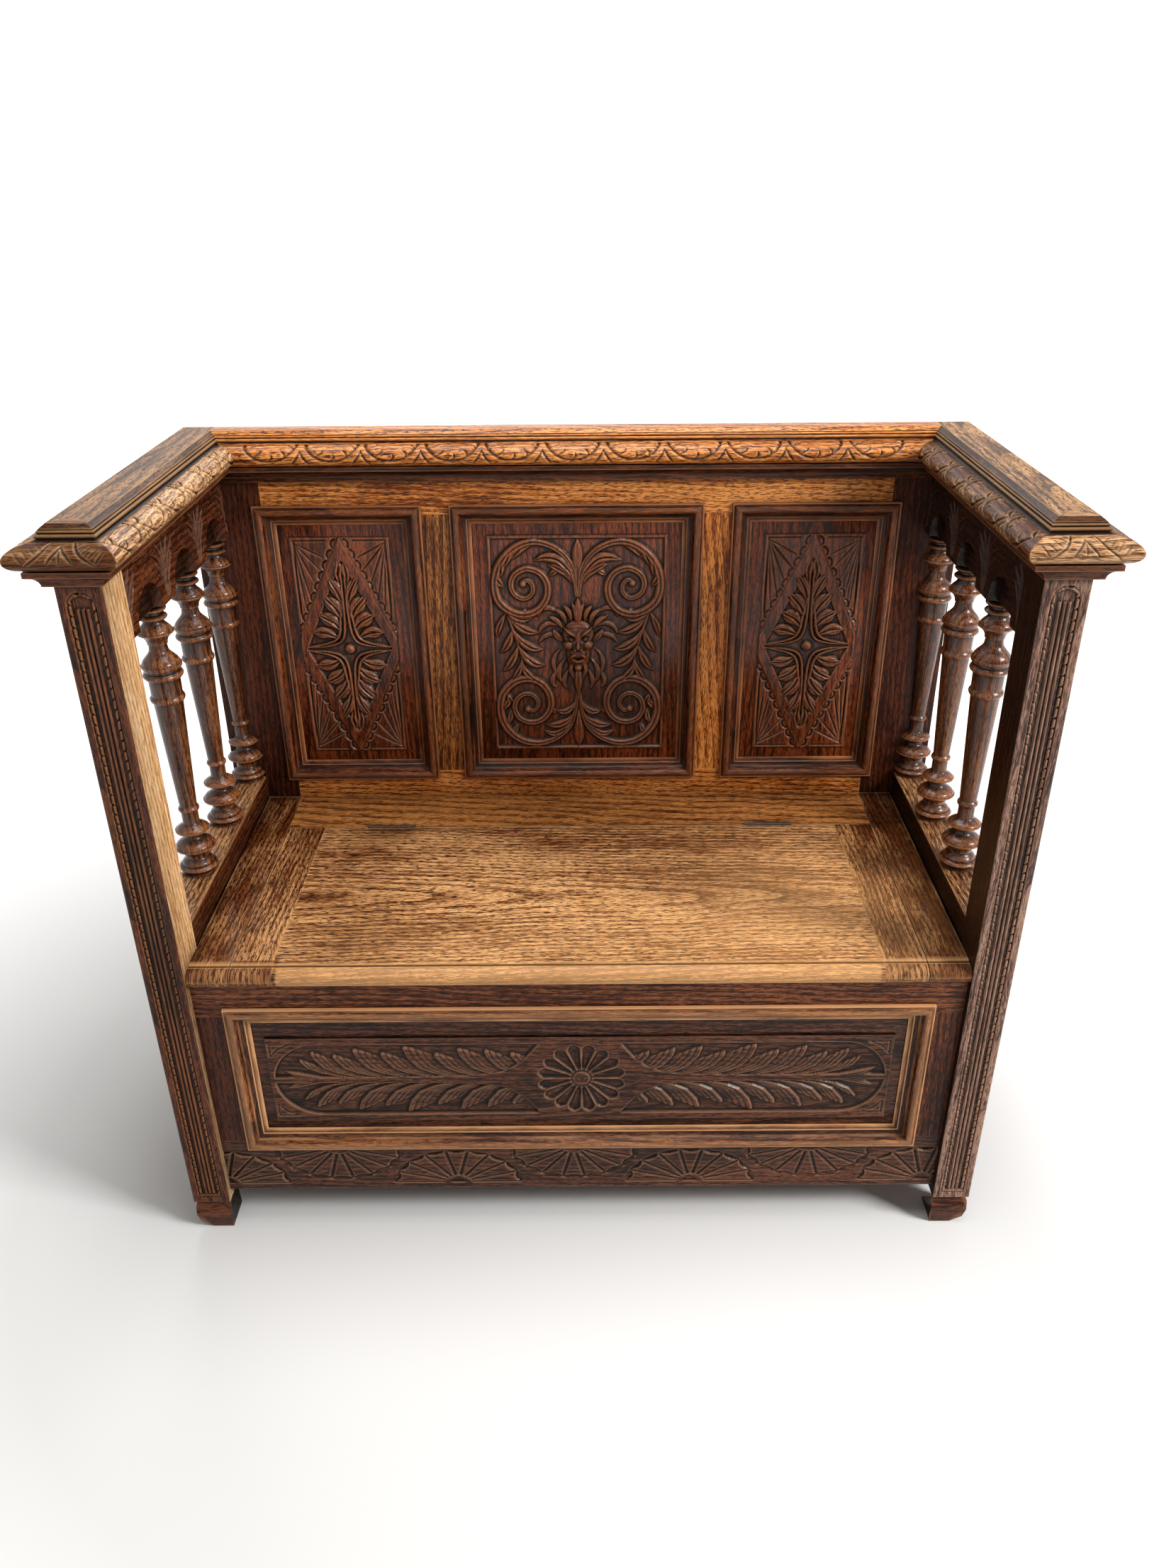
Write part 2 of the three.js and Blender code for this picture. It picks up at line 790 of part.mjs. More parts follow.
// Pockets for the leaves and the knuckles in the two edges that meet at the hinge line
function hingePocket(along, [y0, y1]) {
  const room = widened(along, fit);
  return join(
    block(room, [y0, y1], [seatHeight - leafHeight - fit, seatHeight + overrun]),
    barAlongX(knuckleRadius + leafGap, room, hingeLine, seatHeight, knuckleSegments),
  );
}

const leafReach = leafGap / 2 + leafThickness + fit;
const lidPockets = hingePlaces.map(({ along }) =>
  hingePocket(along, [hingeLine - leafReach, hingeLine]),
);
const stripPockets = hingePlaces.map(({ along }) =>
  hingePocket(along, [hingeLine, hingeLine + leafReach]),
);
add(
  "lid_board",
  cut(alongX(seatSection(lidRear), both(cleatSeam), roundSegments), ...lidPockets),
  goldenOak,
);
for (const { side, hand } of sides) {
  const cleat = span(side, cleatSeam, lidHalfWidth);
  add(`lid_cleat_${hand}`, alongX(seatSection(lidRear), cleat, roundSegments), goldenOak);
  const end = span(side, lidHalfWidth + seamGap, postInner - fit);
  add(`seat_end_${hand}`, alongX(seatSection(backPlane), end, roundSegments), goldenOak);
}
add(
  "seat_back_strip",
  cut(
    block(both(lidHalfWidth + seamGap), [stripFront, backPlane], [seatUnder, seatHeight]),
    ...stripPockets,
  ),
  goldenOak,
);

// Hinges: knuckles of the two leaves take turns along the pin, which stays with the fixed leaf
function hingeLeaf([x0, x1], fixed) {
  const near = leafGap / 2;
  const depth = fixed
    ? [hingeLine + near, hingeLine + near + leafThickness]
    : [hingeLine - near - leafThickness, hingeLine - near];
  const pitch = (x1 - x0) / knuckleCount;
  const bar = (radius, along) =>
    barAlongX(radius, along, hingeLine, seatHeight, knuckleSegments);
  const knuckles = Array.from({ length: knuckleCount }, (_, index) => ({
    own: (index % 2 === 0) === fixed,
    along: [x0 + index * pitch, x0 + (index + 1) * pitch],
  }));
  const own = knuckles.filter((knuckle) => knuckle.own);
  const other = knuckles.filter((knuckle) => !knuckle.own);
  const plate = cut(
    block([x0, x1], depth, [seatHeight - leafHeight, seatHeight]),
    ...other.map(({ along }) => bar(knuckleRadius + leafGap, widened(along, knuckleGap / 2))),
  );
  const barrel = own.map(({ along }) => bar(knuckleRadius, widened(along, -knuckleGap / 2)));
  const leaf = join(plate, ...barrel);
  if (fixed) return join(leaf, bar(pinRadius, widened([x0, x1], -knuckleGap / 2)));
  return cut(leaf, bar(boreRadius, widened([x0, x1], overrun)));
}

for (const { hand, along } of hingePlaces) {
  add(`hinge_fixed_leaf_${hand}`, hingeLeaf(along, true), iron);
  add(`hinge_moving_leaf_${hand}`, hingeLeaf(along, false), iron);
}

console.log(`overall height ${capTop} mm, arch pitch ${archPitch.toFixed(1)} mm`);

export default settle;
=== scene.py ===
import functools
import math

import bmesh
import bpy
import numpy as np
from mathutils import Matrix, Vector


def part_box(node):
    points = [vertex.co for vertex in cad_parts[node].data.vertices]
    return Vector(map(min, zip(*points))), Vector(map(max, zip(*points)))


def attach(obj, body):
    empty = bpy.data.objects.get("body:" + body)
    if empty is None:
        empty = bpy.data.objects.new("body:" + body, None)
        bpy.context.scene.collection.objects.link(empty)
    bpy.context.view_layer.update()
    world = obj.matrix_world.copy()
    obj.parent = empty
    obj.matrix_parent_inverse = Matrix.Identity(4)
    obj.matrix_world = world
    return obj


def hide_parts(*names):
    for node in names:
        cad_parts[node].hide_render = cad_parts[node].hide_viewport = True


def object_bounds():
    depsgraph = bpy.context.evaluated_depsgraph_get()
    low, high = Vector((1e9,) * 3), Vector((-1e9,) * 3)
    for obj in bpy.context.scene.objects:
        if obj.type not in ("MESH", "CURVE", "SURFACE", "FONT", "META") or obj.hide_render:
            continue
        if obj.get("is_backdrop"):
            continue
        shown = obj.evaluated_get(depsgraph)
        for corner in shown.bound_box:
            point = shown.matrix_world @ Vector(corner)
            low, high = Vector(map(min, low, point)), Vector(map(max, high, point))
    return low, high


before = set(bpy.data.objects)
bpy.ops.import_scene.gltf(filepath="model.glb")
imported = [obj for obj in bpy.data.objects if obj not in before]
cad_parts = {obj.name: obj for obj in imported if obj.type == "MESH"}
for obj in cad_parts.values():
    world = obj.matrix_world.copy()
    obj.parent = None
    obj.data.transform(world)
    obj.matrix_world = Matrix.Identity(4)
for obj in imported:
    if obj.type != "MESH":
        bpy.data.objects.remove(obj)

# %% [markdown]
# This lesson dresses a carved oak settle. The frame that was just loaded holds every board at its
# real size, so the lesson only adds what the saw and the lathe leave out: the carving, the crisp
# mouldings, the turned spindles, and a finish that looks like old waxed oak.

MM = 0.001
start_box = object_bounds()
post_low, post_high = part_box("front_post_left")
FRONT = post_low[1]  # the front faces of the front posts
FOOT = post_low[2]  # the undersides of the posts
HANDS = {"left": -1, "right": 1}
ACROSS, BACK, FORWARD, UP = (1, 0, 0), (0, 1, 0), (0, -1, 0), (0, 0, 1)
print("posts stand", round((post_high[2] - FOOT) / MM), "mm above their feet")


def settle_point(x, y, z):
    """Millimetres from the middle, the posts' front faces and the posts' feet, in metres."""
    return np.stack(np.broadcast_arrays(x * MM, y * MM + FRONT, z * MM + FOOT), axis=-1)


def unit(values):
    """Keeps values from nothing to one."""
    return np.clip(values, 0, 1)


def new_object(name, data):
    made = bpy.data.objects.new(name, data)
    bpy.context.collection.objects.link(made)
    return made


def as_mesh(bm, name):
    mesh = bpy.data.meshes.new(name)
    bm.to_mesh(mesh)
    bm.free()
    return mesh


# %% [markdown]
# The camera looks slightly down at the settle from the front, as the photographer did. Its focal
# length in pixels and its angles were solved from the straight lines of the joinery, so the
# camera's three axes are written out from those angles and put straight into its matrix.

# %% Camera
FRAME_HEIGHT = 2212  # pixels, in a frame that is 1659 wide
FOCAL_PIXELS = 1670.72
SENSOR_HEIGHT = 24
PITCH, YAW, ROLL = 0.4915, 0.0011, 0.0075  # radians: downwards, sideways, and about the view
EYE = settle_point(15.33, -1208.89, 1319.9)


def yawed(x, y, z):
    return Vector(
        (x * math.cos(YAW) - y * math.sin(YAW), x * math.sin(YAW) + y * math.cos(YAW), z)
    )


forward = yawed(0, math.cos(PITCH), -math.sin(PITCH))
right = yawed(
    math.cos(ROLL), -math.sin(ROLL) * math.sin(PITCH), -math.sin(ROLL) * math.cos(PITCH)
)
upward = yawed(
    math.sin(ROLL), math.cos(ROLL) * math.sin(PITCH), math.cos(ROLL) * math.cos(PITCH)
)
camera_data = bpy.data.cameras.new("camera")
camera_data.sensor_fit = "VERTICAL"
camera_data.sensor_height = SENSOR_HEIGHT
camera_data.lens = FOCAL_PIXELS * SENSOR_HEIGHT / FRAME_HEIGHT
camera = new_object("camera", camera_data)
camera.matrix_world = Matrix.Translation(Vector(EYE)) @ Matrix(
    (right, upward, -forward)
).transposed().to_4x4()
bpy.context.scene.camera = camera
print("lens", round(camera_data.lens, 2), "mm on a sensor", SENSOR_HEIGHT, "mm high")

# %% [markdown]
# A colour picked on screen is an sRGB hex value, but shaders count in linear light, so one
# function turns the one into the other. A second small function adds any node with its settings
# and its links, which keeps the materials short enough to read as recipes.

# %% Colours and nodes


def colour(code):
    channels = [int(code[i : i + 2], 16) / 255 for i in (1, 3, 5)]
    linear = [c / 12.92 if c <= 0.04045 else ((c + 0.055) / 1.055) ** 2.4 for c in channels]
    return (*linear, 1.0)


def add_node(tree, kind, inputs, out=0, **settings):
    """Adds a node; an input that is another node's socket becomes a link. Returns an output."""
    made = tree.nodes.new("ShaderNode" + kind)
    for key, value in settings.items():
        setattr(made, key, value)
    for socket, value in inputs.items():
        if isinstance(value, bpy.types.NodeSocket):
            tree.links.new(value, made.inputs[socket])
        else:
            made.inputs[socket].default_value = value
    return made.outputs[out] if made.outputs else made


def calc(node, operation, *values, **settings):
    """A Math node with one, two or three values."""
    return node("Math", dict(enumerate(values)), operation=operation, **settings)


def blank_material(name):
    material = bpy.data.materials.new(name)
    material.use_nodes = True
    material.node_tree.nodes.clear()
    return material, functools.partial(add_node, material.node_tree)


print("middle grey on screen is", round(colour("#808080")[0], 3), "in linear light")

# %% [markdown]
# The room is a white studio with one large soft box high on the right, which is where the light
# in the picture comes from, a second one overhead, and weak fill from the front and the back.

# %% Soft boxes


def soft_box(name, place, aim, width, height, power):
    light = bpy.data.lights.new(name, "AREA")
    light.shape = "RECTANGLE"
    light.size, light.size_y = width, height
    light.energy = power
    made = new_object(name, light)
    made.location = place
    made.rotation_euler = (Vector(aim) - Vector(place)).to_track_quat("-Z", "Y").to_euler()
    print(name, power, "W")


soft_box("key_box", (2.8, -1.5, 2.4), (-0.2, 0.1, 0.5), 1.0, 1.0, 124)
soft_box("top_box", (0.1, 0.15, 3.0), (0, 0.1, 0.5), 2.2, 1.4, 54)
soft_box("front_box", (-0.8, -3.2, 1.6), (0, 0, 0.5), 1.6, 1.2, 3)
soft_box("back_box", (-0.6, 2.4, 2.6), (0, 0.2, 0.9), 1.8, 1.0, 20)

# %% [markdown]
# The background is white only for the rays that show it: those from the camera, and those that
# a gloss or a glass sends on. All other rays find a much dimmer room, so that the soft boxes
# shape the wood.

# %% The white room
ROOM_STRENGTH = 0.17


def sees_white(tree, node):
    """One for the rays that show the background: from the camera, in a gloss or through glass."""
    rays = tree.nodes.new("ShaderNodeLightPath").outputs
    seen = calc(node, "MAXIMUM", rays["Is Camera Ray"], rays["Is Transmission Ray"])
    return calc(node, "MAXIMUM", seen, rays["Is Glossy Ray"])


world = bpy.data.worlds.new("studio")
world.use_nodes = True
world.node_tree.nodes.clear()
node = functools.partial(add_node, world.node_tree)
seen = sees_white(world.node_tree, node)
room = node("Background", {"Color": colour("#f6f3ee"), "Strength": ROOM_STRENGTH})
paper = node("Background", {"Color": (1, 1, 1, 1), "Strength": 1.0})
node("OutputWorld", {"Surface": node("MixShader", {0: seen, 1: room, 2: paper})})
bpy.context.scene.world = world
bpy.context.scene.view_settings.view_transform = "Standard"
print("room light", ROOM_STRENGTH)

# %% [markdown]
# The floor is matt paper. It takes the settle's shadow, and away from the settle it grows white,
# as paper does that is lit on its own, so that it runs into the background without a line.

# %% The floor
LIFT_START, LIFT_END = 0.85, 2.2  # metres from the middle: where the paper's own light sets in
bm = bmesh.new()
bmesh.ops.create_grid(bm, x_segments=1, y_segments=1, size=20)
floor_mesh = as_mesh(bm, "floor")
floor = new_object("floor", floor_mesh)
floor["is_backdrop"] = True
material, node = blank_material("pale matt paper")
away = node("VectorMath", {0: node("TexCoord", {}, "Object")}, "Value", operation="LENGTH")
lift = node("MapRange", {"Value": away, "From Min": LIFT_START, "From Max": LIFT_END})
seen = sees_white(material.node_tree, node)
lift = calc(node, "MULTIPLY", lift, seen)
white = node("Emission", {"Color": (1, 1, 1, 1), "Strength": lift})
# matt paper scatters light evenly, so the eye gets soft shadows and no reflection
matt = node("BsdfPrincipled", {"Base Color": colour("#f4f3f1"), "Roughness": 0.7, "IOR": 1.45})
node("OutputMaterial", {0: node("AddShader", {0: matt, 1: white})})
floor_mesh.materials.append(material)
print("floor white from", LIFT_END, "m")

# %% [markdown]
# Oak is ring porous: each year leaves a row of long open pores, and dark wax collects in them, so
# they show as short dark flecks in bands. Each piece carries an attribute named grain, whose first
# number runs along the board and whose others run across it, counted from the heart of the tree.
# So one recipe serves a rail, a post and a carved panel alike, and the distance from the heart
# gives the rings. Carried frame nodes have no such attribute, and read their object coordinates
# instead, turned so that the grain follows the board.

# %% How the grain runs
ALONG = {"x": (0, 0, 0), "y": (0, 0, -math.pi / 2), "z": (0, math.pi / 2, 0)}
RING = 0.0075  # a year's growth in metres, drawn wider than the real 3 mm so that it shows
STREAKS = {  # how often a noise changes in a metre, along and across, and its detail
    "tone": (3, 14, 2),  # boards differ over about 70 mm
    "figure": (14, 150, 3),  # streaks about 7 mm wide
    "fibre": (55, 620, 2),  # fibres about 1.6 mm wide, drawn coarse enough to show
    "pores": (105, 760, 1),  # pores about 9 mm long and 1.3 mm wide, also drawn coarse
    "patches": (12, 40, 3),  # wear and stain come in patches of about 25 mm
}


def grain_place(node, axis):
    """A place in the tree, with the sway that a trunk has."""
    if axis:
        place = node("TexCoord", {}, "Object")
        place = node(
            "VectorRotate", {"Vector": place, "Rotation": ALONG[axis]}, rotation_type="EULER_XYZ"
        )
    else:
        place = node("Attribute", {}, "Vector", attribute_name="grain")
    sway = node("TexNoise", {"Vector": place, "Scale": 5.0, "Detail": 2.0}, "Color")
    return node("VectorMath", {0: sway, 1: (0.0, 0.016, 0.016), 2: place},
                operation="MULTIPLY_ADD")


def streaks(node, place):
    noises = {}
    for name, (along, across, detail) in STREAKS.items():
        size = node("VectorMath", {0: place, 1: (along, across, across)}, operation="MULTIPLY")
        noises[name] = node("TexNoise", {"Vector": size, "Scale": 1.0, "Detail": detail})
    return noises


def early_wood(node, place):
    """One in the porous wood of spring, fading to nothing in the dense wood of summer."""
    flat = node("VectorMath", {0: place, 1: (0, 1, 1)}, operation="MULTIPLY")
    radius = node("VectorMath", {0: flat}, "Value", operation="LENGTH")
    run = node("SeparateXYZ", {0: place})
    taper = 0.04  # a trunk grows thinner upwards, so rings run out along a board
    radius = calc(node, "MULTIPLY_ADD", run, taper, radius)
    year = calc(node, "MULTIPLY", radius, 1 / RING)
    year = calc(node, "FRACT", year)
    return node("MapRange", {"Value": year, "From Max": 0.6, "To Min": 1.0, "To Max": 0.0})


print("a ring is drawn", RING / MM, "mm wide")

# %% [markdown]
# Age and painted light show in four ways. Darkening in the corners and under parts, which an
# occlusion node finds, is partly old wax and partly painted shade; wear on the outer edges is
# found by the same node when it looks inwards; and a second attribute named relief holds two
# things: the low and the high parts of the carving, darkened as wax and painted shade and
# lightened as wear and painted highlight, and the stains, which on the right arm's torus and the
# seat's right side are painted shade.
#
# Wood bends light as a dielectric with an IOR near 1.5 does. What tells waxed oak from bare oak is
# a low, broad sheen with a thin clear coat of wax over it.

# %% Oak
BLEND = {"data_type": "RGBA", "out": 2}  # a Mix node's third output is its colour


def darkened(node, wood, amount, tone):
    """The wood with a tone multiplied into it, as far as the amount says."""
    dark = node("Mix", {0: 1.0, 6: wood, 7: colour(tone)}, blend_type="MULTIPLY", **BLEND)
    return node("Mix", {0: amount, 6: wood, 7: dark}, **BLEND)


def oak(name, deep, body, light, axis=None, gloss=0.42, wear=0.5, dirt=0.8, worn_tone=None,
        flecks=0.75, polish=0.1, edge_wear=1.4):
    material, node = blank_material(name)
    place = grain_place(node, axis)
    noises = streaks(node, place)
    early = early_wood(node, place)

    mixed = calc(node, "MULTIPLY", noises["tone"], 0.42)
    for layer, share in ((noises["figure"], 0.40), (noises["fibre"], 0.58), (early, -0.13)):
        mixed = calc(node, "MULTIPLY_ADD", layer, share, mixed)
    shades = node("ValToRGB", {"Fac": mixed})
    ramp = shades.node.color_ramp
    ramp.elements[0].position, ramp.elements[0].color = 0.53, colour(deep)
    ramp.elements[1].position, ramp.elements[1].color = 0.75, colour(light)
    ramp.elements.new(0.64).color = colour(body)

    open_pores = calc(node, "MULTIPLY_ADD", early, 0.10, noises["pores"])
    pore = node("MapRange", {"Value": open_pores, "From Min": 0.54, "From Max": 0.62})
    shade = calc(node, "MULTIPLY", pore, flecks)
    wood = darkened(node, shades, shade, "#4c3629")  # wax in the pores

    marks = node("SeparateXYZ", {0: node("Attribute", {}, "Vector", attribute_name="relief")})
    hollow, proud, stain_and_shade = marks.node.outputs
    patchy = node("MapRange", {"Value": noises["patches"], "From Min": 0.38, "From Max": 0.62})
    uneven = node("MapRange", {"Value": patchy, "To Min": 1.35, "To Max": 0.65})
    stain_and_shade = calc(node, "MULTIPLY", stain_and_shade, uneven, use_clamp=True)
    wood = darkened(node, wood, stain_and_shade, "#866448")  # stain that has soaked in, and painted shade on the right arm's torus and the seat's right side

    open_air = node("AmbientOcclusion", {"Distance": 0.03}, "AO", samples=6)
    darkening = calc(node, "SUBTRACT", 1.0, open_air)
    darkening = calc(node, "MULTIPLY", darkening, dirt)
    darkening = calc(node, "MULTIPLY_ADD", hollow, 0.9, darkening, use_clamp=True)
    wood = darkened(node, wood, darkening, "#35271f")  # black wax and painted shade in corners, cuts and under parts

    # wear on the arrises, and lightened crests, which are wear and painted highlight
    inner = node("AmbientOcclusion", {"Distance": 0.003}, "AO", samples=6, inside=True)
    edge = calc(node, "SUBTRACT", 1.0, inner)
    worn = calc(node, "MULTIPLY", edge, patchy)
    worn = calc(node, "MULTIPLY_ADD", worn, edge_wear, proud)
    worn = calc(node, "MULTIPLY", worn, wear, use_clamp=True)
    wood = node("Mix", {0: worn, 6: wood, 7: colour(worn_tone or light)}, **BLEND)

    rough = calc(node, "MULTIPLY_ADD", noises["fibre"], 0.22, gloss - 0.11)
    rough = calc(node, "MULTIPLY_ADD", darkening, 0.2, rough)
    high = calc(node, "MULTIPLY_ADD", pore, -0.8, noises["fibre"])
    bump = node("Bump", {"Height": high, "Strength": 0.45, "Distance": 0.0005})
    finish = {"Base Color": wood, "Roughness": rough, "Normal": bump, "IOR": 1.5}
    finish.update({"Specular IOR Level": 0.08 + polish / 3, "Coat Weight": polish})
    finish["Coat Roughness"] = 0.18
    node("OutputMaterial", {"Surface": node("BsdfPrincipled", finish)})
    return material


print("oak has", len(STREAKS), "layers of grain")

# %% [markdown]
# The hinges are old wrought iron. Rust has taken part of the surface, and what is left of the
# bare iron is dark grey and smoother, so the metal value falls where the rust is.

# %% Iron


def iron(name):
    material, node = blank_material(name)
    place = node("TexCoord", {}, "Object")
    rust = node("TexNoise", {"Vector": place, "Scale": 260.0, "Detail": 4.0})  # spots of 4 mm
    share = node("MapRange", {"Value": rust, "From Min": 0.45, "From Max": 0.65})
    tone = node("Mix", {0: share, 6: colour("#4b4541"), 7: colour("#3a2218")}, **BLEND)
    metal = node("MapRange", {"Value": share, "To Min": 0.9, "To Max": 0.2})
    rough = node("MapRange", {"Value": share, "To Min": 0.35, "To Max": 0.8})
    bump = node("Bump", {"Height": rust, "Strength": 0.4, "Distance": 0.0003})
    finish = {"Base Color": tone, "Metallic": metal, "Roughness": rough, "Normal": bump}
    node("OutputMaterial", {"Surface": node("BsdfPrincipled", finish)})
    return material


# dark iron with rust: dull and nearly black, with a grey glint only on what is still bare
old_iron = iron("dark wrought iron")
print("made", old_iron.name)

# %% [markdown]
# A carver works from the face of the board downwards, so every carved surface here is a height
# map in millimetres: zero is the face, and cuts go below it. The map knows a few strokes of the
# chisel. A vein is a V cut along a line, a rib is a round strand left standing, which can swell
# like a leaf and be cut along its middle, domes and hollows are round, and a scoop is a cut by a
# round gouge, steep at its rim.

# %% The carver's strokes


def curve_through(points, steps=8):
    """A smooth line through the points, by the Catmull-Rom rule."""
    points = np.array(points, float)
    padded = np.vstack([2 * points[0] - points[1], points, 2 * points[-1] - points[-2]])
    line = []
    for a, b, c, d in zip(padded, padded[1:], padded[2:], padded[3:]):
        for t in np.linspace(0, 1, steps, endpoint=False):
            line.append(
                0.5 * (2 * b + (c - a) * t + (2 * a - 5 * b + 4 * c - d) * t**2
                       + (3 * b - a - 3 * c + d) * t**3)
            )
    return np.vstack([line, points[-1]])


print("a curve through 3 points has", len(curve_through([(0, 0), (5, 3), (10, 0)])), "points")

# %% A height map and its strokes


class Relief:
    """A height map over a rectangle of a board's face, in millimetres."""

    def __init__(self, left, right, low, high, cell=0.8, ground=0.0):
        self.cell, self.ground = cell, ground
        self.left, self.low = left, low
        self.x, self.z = np.meshgrid(
            np.arange(left, right + cell, cell), np.arange(low, high + cell, cell)
        )
        self.height = np.zeros_like(self.x)

    def window(self, points, reach):
        """The rows and columns that lie within reach of the points."""
        size = self.x.shape

        def part(values, start, count):
            first = int((values.min() - reach - start) / self.cell)
            last = int((values.max() + reach - start) / self.cell) + 2
            return slice(max(0, min(first, count)), max(0, min(last, count)))

        rows = part(points[:, 1], self.low, size[0])
        return rows, part(points[:, 0], self.left, size[1])

    def near(self, points, reach):
        """How far each cell is from a line, and how far along the line its nearest point is."""
        place = self.window(points, reach)
        x, z = self.x[place], self.z[place]
        steps = np.hypot(*np.diff(points, axis=0).T)
        starts = np.concatenate([[0], np.cumsum(steps)])
        distance = np.full(x.shape, 1e6)
        share = np.zeros(x.shape)
        for (ax, az), (bx, bz), step, start in zip(points, points[1:], steps, starts):
            if step == 0:
                continue
            t = ((x - ax) * (bx - ax) + (z - az) * (bz - az)) / step**2
            t = unit(t)
            gap = np.hypot(x - ax - t * (bx - ax), z - az - t * (bz - az))
            closer = gap < distance
            distance = np.where(closer, gap, distance)
            share = np.where(closer, (start + t * step) / starts[-1], share)
        return place, distance, share

    def vein(self, points, width=1.6, depth=1.2, taper=True):
        """A V cut, which runs out at both ends if it tapers."""
        line = curve_through(points) if len(points) > 2 else np.array(points, float)
        place, distance, share = self.near(line, width)
        wide = width * (np.sin(np.pi * np.clip(share, 0.03, 0.97)) ** 0.5 if taper else 1)
        self.height[place] -= depth * unit(1 - distance / wide)

    def rib(self, points, width, rise, fullest=None, thin=(0.5, 0.5), cut=0.0):
        """A round rib left standing. It keeps its width, or swells like a leaf at 'fullest'."""
        place, distance, share = self.near(curve_through(points), width)
        if fullest:
            power = math.log(0.5) / math.log(fullest)
            size = np.sin(np.pi * np.clip(share, 0.015, 0.985) ** power) ** 0.8
            top = rise * (0.6 + 0.4 * size)
        else:
            size = thin[0] + (1 - thin[0]) * unit(share * 3)
            size = np.minimum(size, thin[1] + (1 - thin[1]) * unit((1 - share) * 2))
            top = rise * (0.4 + 0.6 * size)
        wide = width * size
        form = self.ground + top * unit(1 - (distance / wide) ** 2) ** 0.5
        form -= cut * rise * unit(1 - distance / (0.4 * wide))
        here = self.height[place]
        self.height[place] = np.where(distance < wide, np.maximum(here, form), here)

    def oval(self, x, z, across, tall, angle):
        """How far inside an ellipse each cell near it lies, from nothing at its rim to one."""
        place = self.window(np.array([[x, z]]), max(across, tall))
        dx, dz = self.x[place] - x, self.z[place] - z
        u = dx * math.cos(angle) + dz * math.sin(angle)
        v = -dx * math.sin(angle) + dz * math.cos(angle)
        return place, 1 - (u / across) ** 2 - (v / tall) ** 2

    def dome(self, x, z, across, tall, rise, angle=0.0):
        place, inside = self.oval(x, z, across, tall, angle)
        here = self.height[place]
        top = self.ground + rise * np.sqrt(unit(inside))
        self.height[place] = np.where(inside > 0, np.maximum(here, top), here)

    def hollow(self, x, z, across, tall, depth, angle=0.0):
        place, inside = self.oval(x, z, across, tall, angle)
        self.height[place] -= depth * unit(inside)

    def scoop(self, x, z, radius, angle, spread=1.0, width=4.0, depth=2.0):
        """A gouge cut inside an arc of the given radius, deepest at the arc."""
        place = self.window(np.array([[x, z]]), radius)
        dx, dz = self.x[place] - x, self.z[place] - z
        reach = np.hypot(dx, dz)
        turn = np.arctan2(dz, dx) - angle
        turn = np.abs((turn + np.pi) % (2 * np.pi) - np.pi)
        ramp = unit((reach - radius + width) / width) * (reach <= radius)
        fade = unit((spread - turn) * 4)
        self.height[place] -= depth * ramp * fade

    def mirror(self):
        """Copies the right half of the map to the left."""
        self.height = np.where(self.x < 0, self.height[:, ::-1], self.height)

    def soften(self, grid, times):
        for _ in range(times):
            padded = np.pad(grid, 1, mode="edge")
            grid = (padded[:-2, 1:-1] + padded[2:, 1:-1] + 2 * padded[1:-1, 1:-1]
                    + padded[1:-1, :-2] + padded[1:-1, 2:]) / 6
        return grid

    def finish(self, ground=0.0):
        """Rounds the cuts a little, then marks what lies below and above its surroundings."""
        self.height = self.soften(self.height, 1)
        near = self.soften(self.height, 4)
        around = self.soften(near, 20)
        # the oak darkens the low parts, as wax and painted shade, and lightens the high parts, as
        # wear and painted highlight
        low = np.maximum((around - self.height) / 0.7, (near - self.height) / 0.22)
        self.low_parts = unit(low - 0.06 - ground * self.height / 3.5)
        self.high_parts = unit((self.height - near) / 0.24 - 0.12)
        return self

    def at(self, grid, x, z):
        """The values of one of the map's grids at any places, read between the cells."""
        i = np.clip((x - self.left) / self.cell, 0, self.x.shape[1] - 1.001)
        j = np.clip((z - self.low) / self.cell, 0, self.x.shape[0] - 1.001)
        a, b = i.astype(int), j.astype(int)
        u, v = i - a, j - b
        return (grid[b, a] * (1 - u) * (1 - v) + grid[b, a + 1] * u * (1 - v)
                + grid[b + 1, a] * (1 - u) * v + grid[b + 1, a + 1] * u * v)

    def marks_at(self, x, z):
        """The low and the high parts at any places, and no stain."""
        low, high = self.at(self.low_parts, x, z), self.at(self.high_parts, x, z)
        return np.stack([low, high, 0 * low], axis=-1)


practice = Relief(-10, 10, -10, 10)
practice.vein([(-8, 0), (8, 0)], width=2.0, depth=1.5)
print("a practice cut goes down to", round(float(practice.height.min()), 2), "mm")

# %% [markdown]
# Every new surface starts from the grid operator, whose points are then laid over the form they
# belong to. Each point also carries the two attributes that the oak reads: its grain, and its
# relief.

# %% Sheets


def coordinates(mesh):
    flat = np.empty(len(mesh.vertices) * 3, np.float32)
    mesh.vertices.foreach_get("co", flat)
    return flat.reshape(-1, 3)


def mark(mesh, grain, relief=None):
    """Writes the two attributes; without a relief, the surface is plain."""
    if relief is None:
        relief = np.zeros_like(grain)
    for name, values in (("grain", grain), ("relief", relief)):
        layer = mesh.attributes.get(name) or mesh.attributes.new(name, "FLOAT_VECTOR", "POINT")
        layer.data.foreach_set("vector", values.astype(np.float32).ravel())


def sheet(columns, rows, lay):
    """A grid laid out by lay(t, s), which gives places, grain and relief for shares up to 1."""
    bm = bmesh.new()
    bmesh.ops.create_grid(bm, x_segments=columns, y_segments=rows, size=1)
    mesh = as_mesh(bm, "sheet")
    flat = coordinates(mesh)
    places, grain, relief = lay((flat[:, 0] + 1) / 2, (flat[:, 1] + 1) / 2)
    mesh.vertices.foreach_set("co", places.astype(np.float32).ravel())
    mark(mesh, grain, relief)
    return mesh


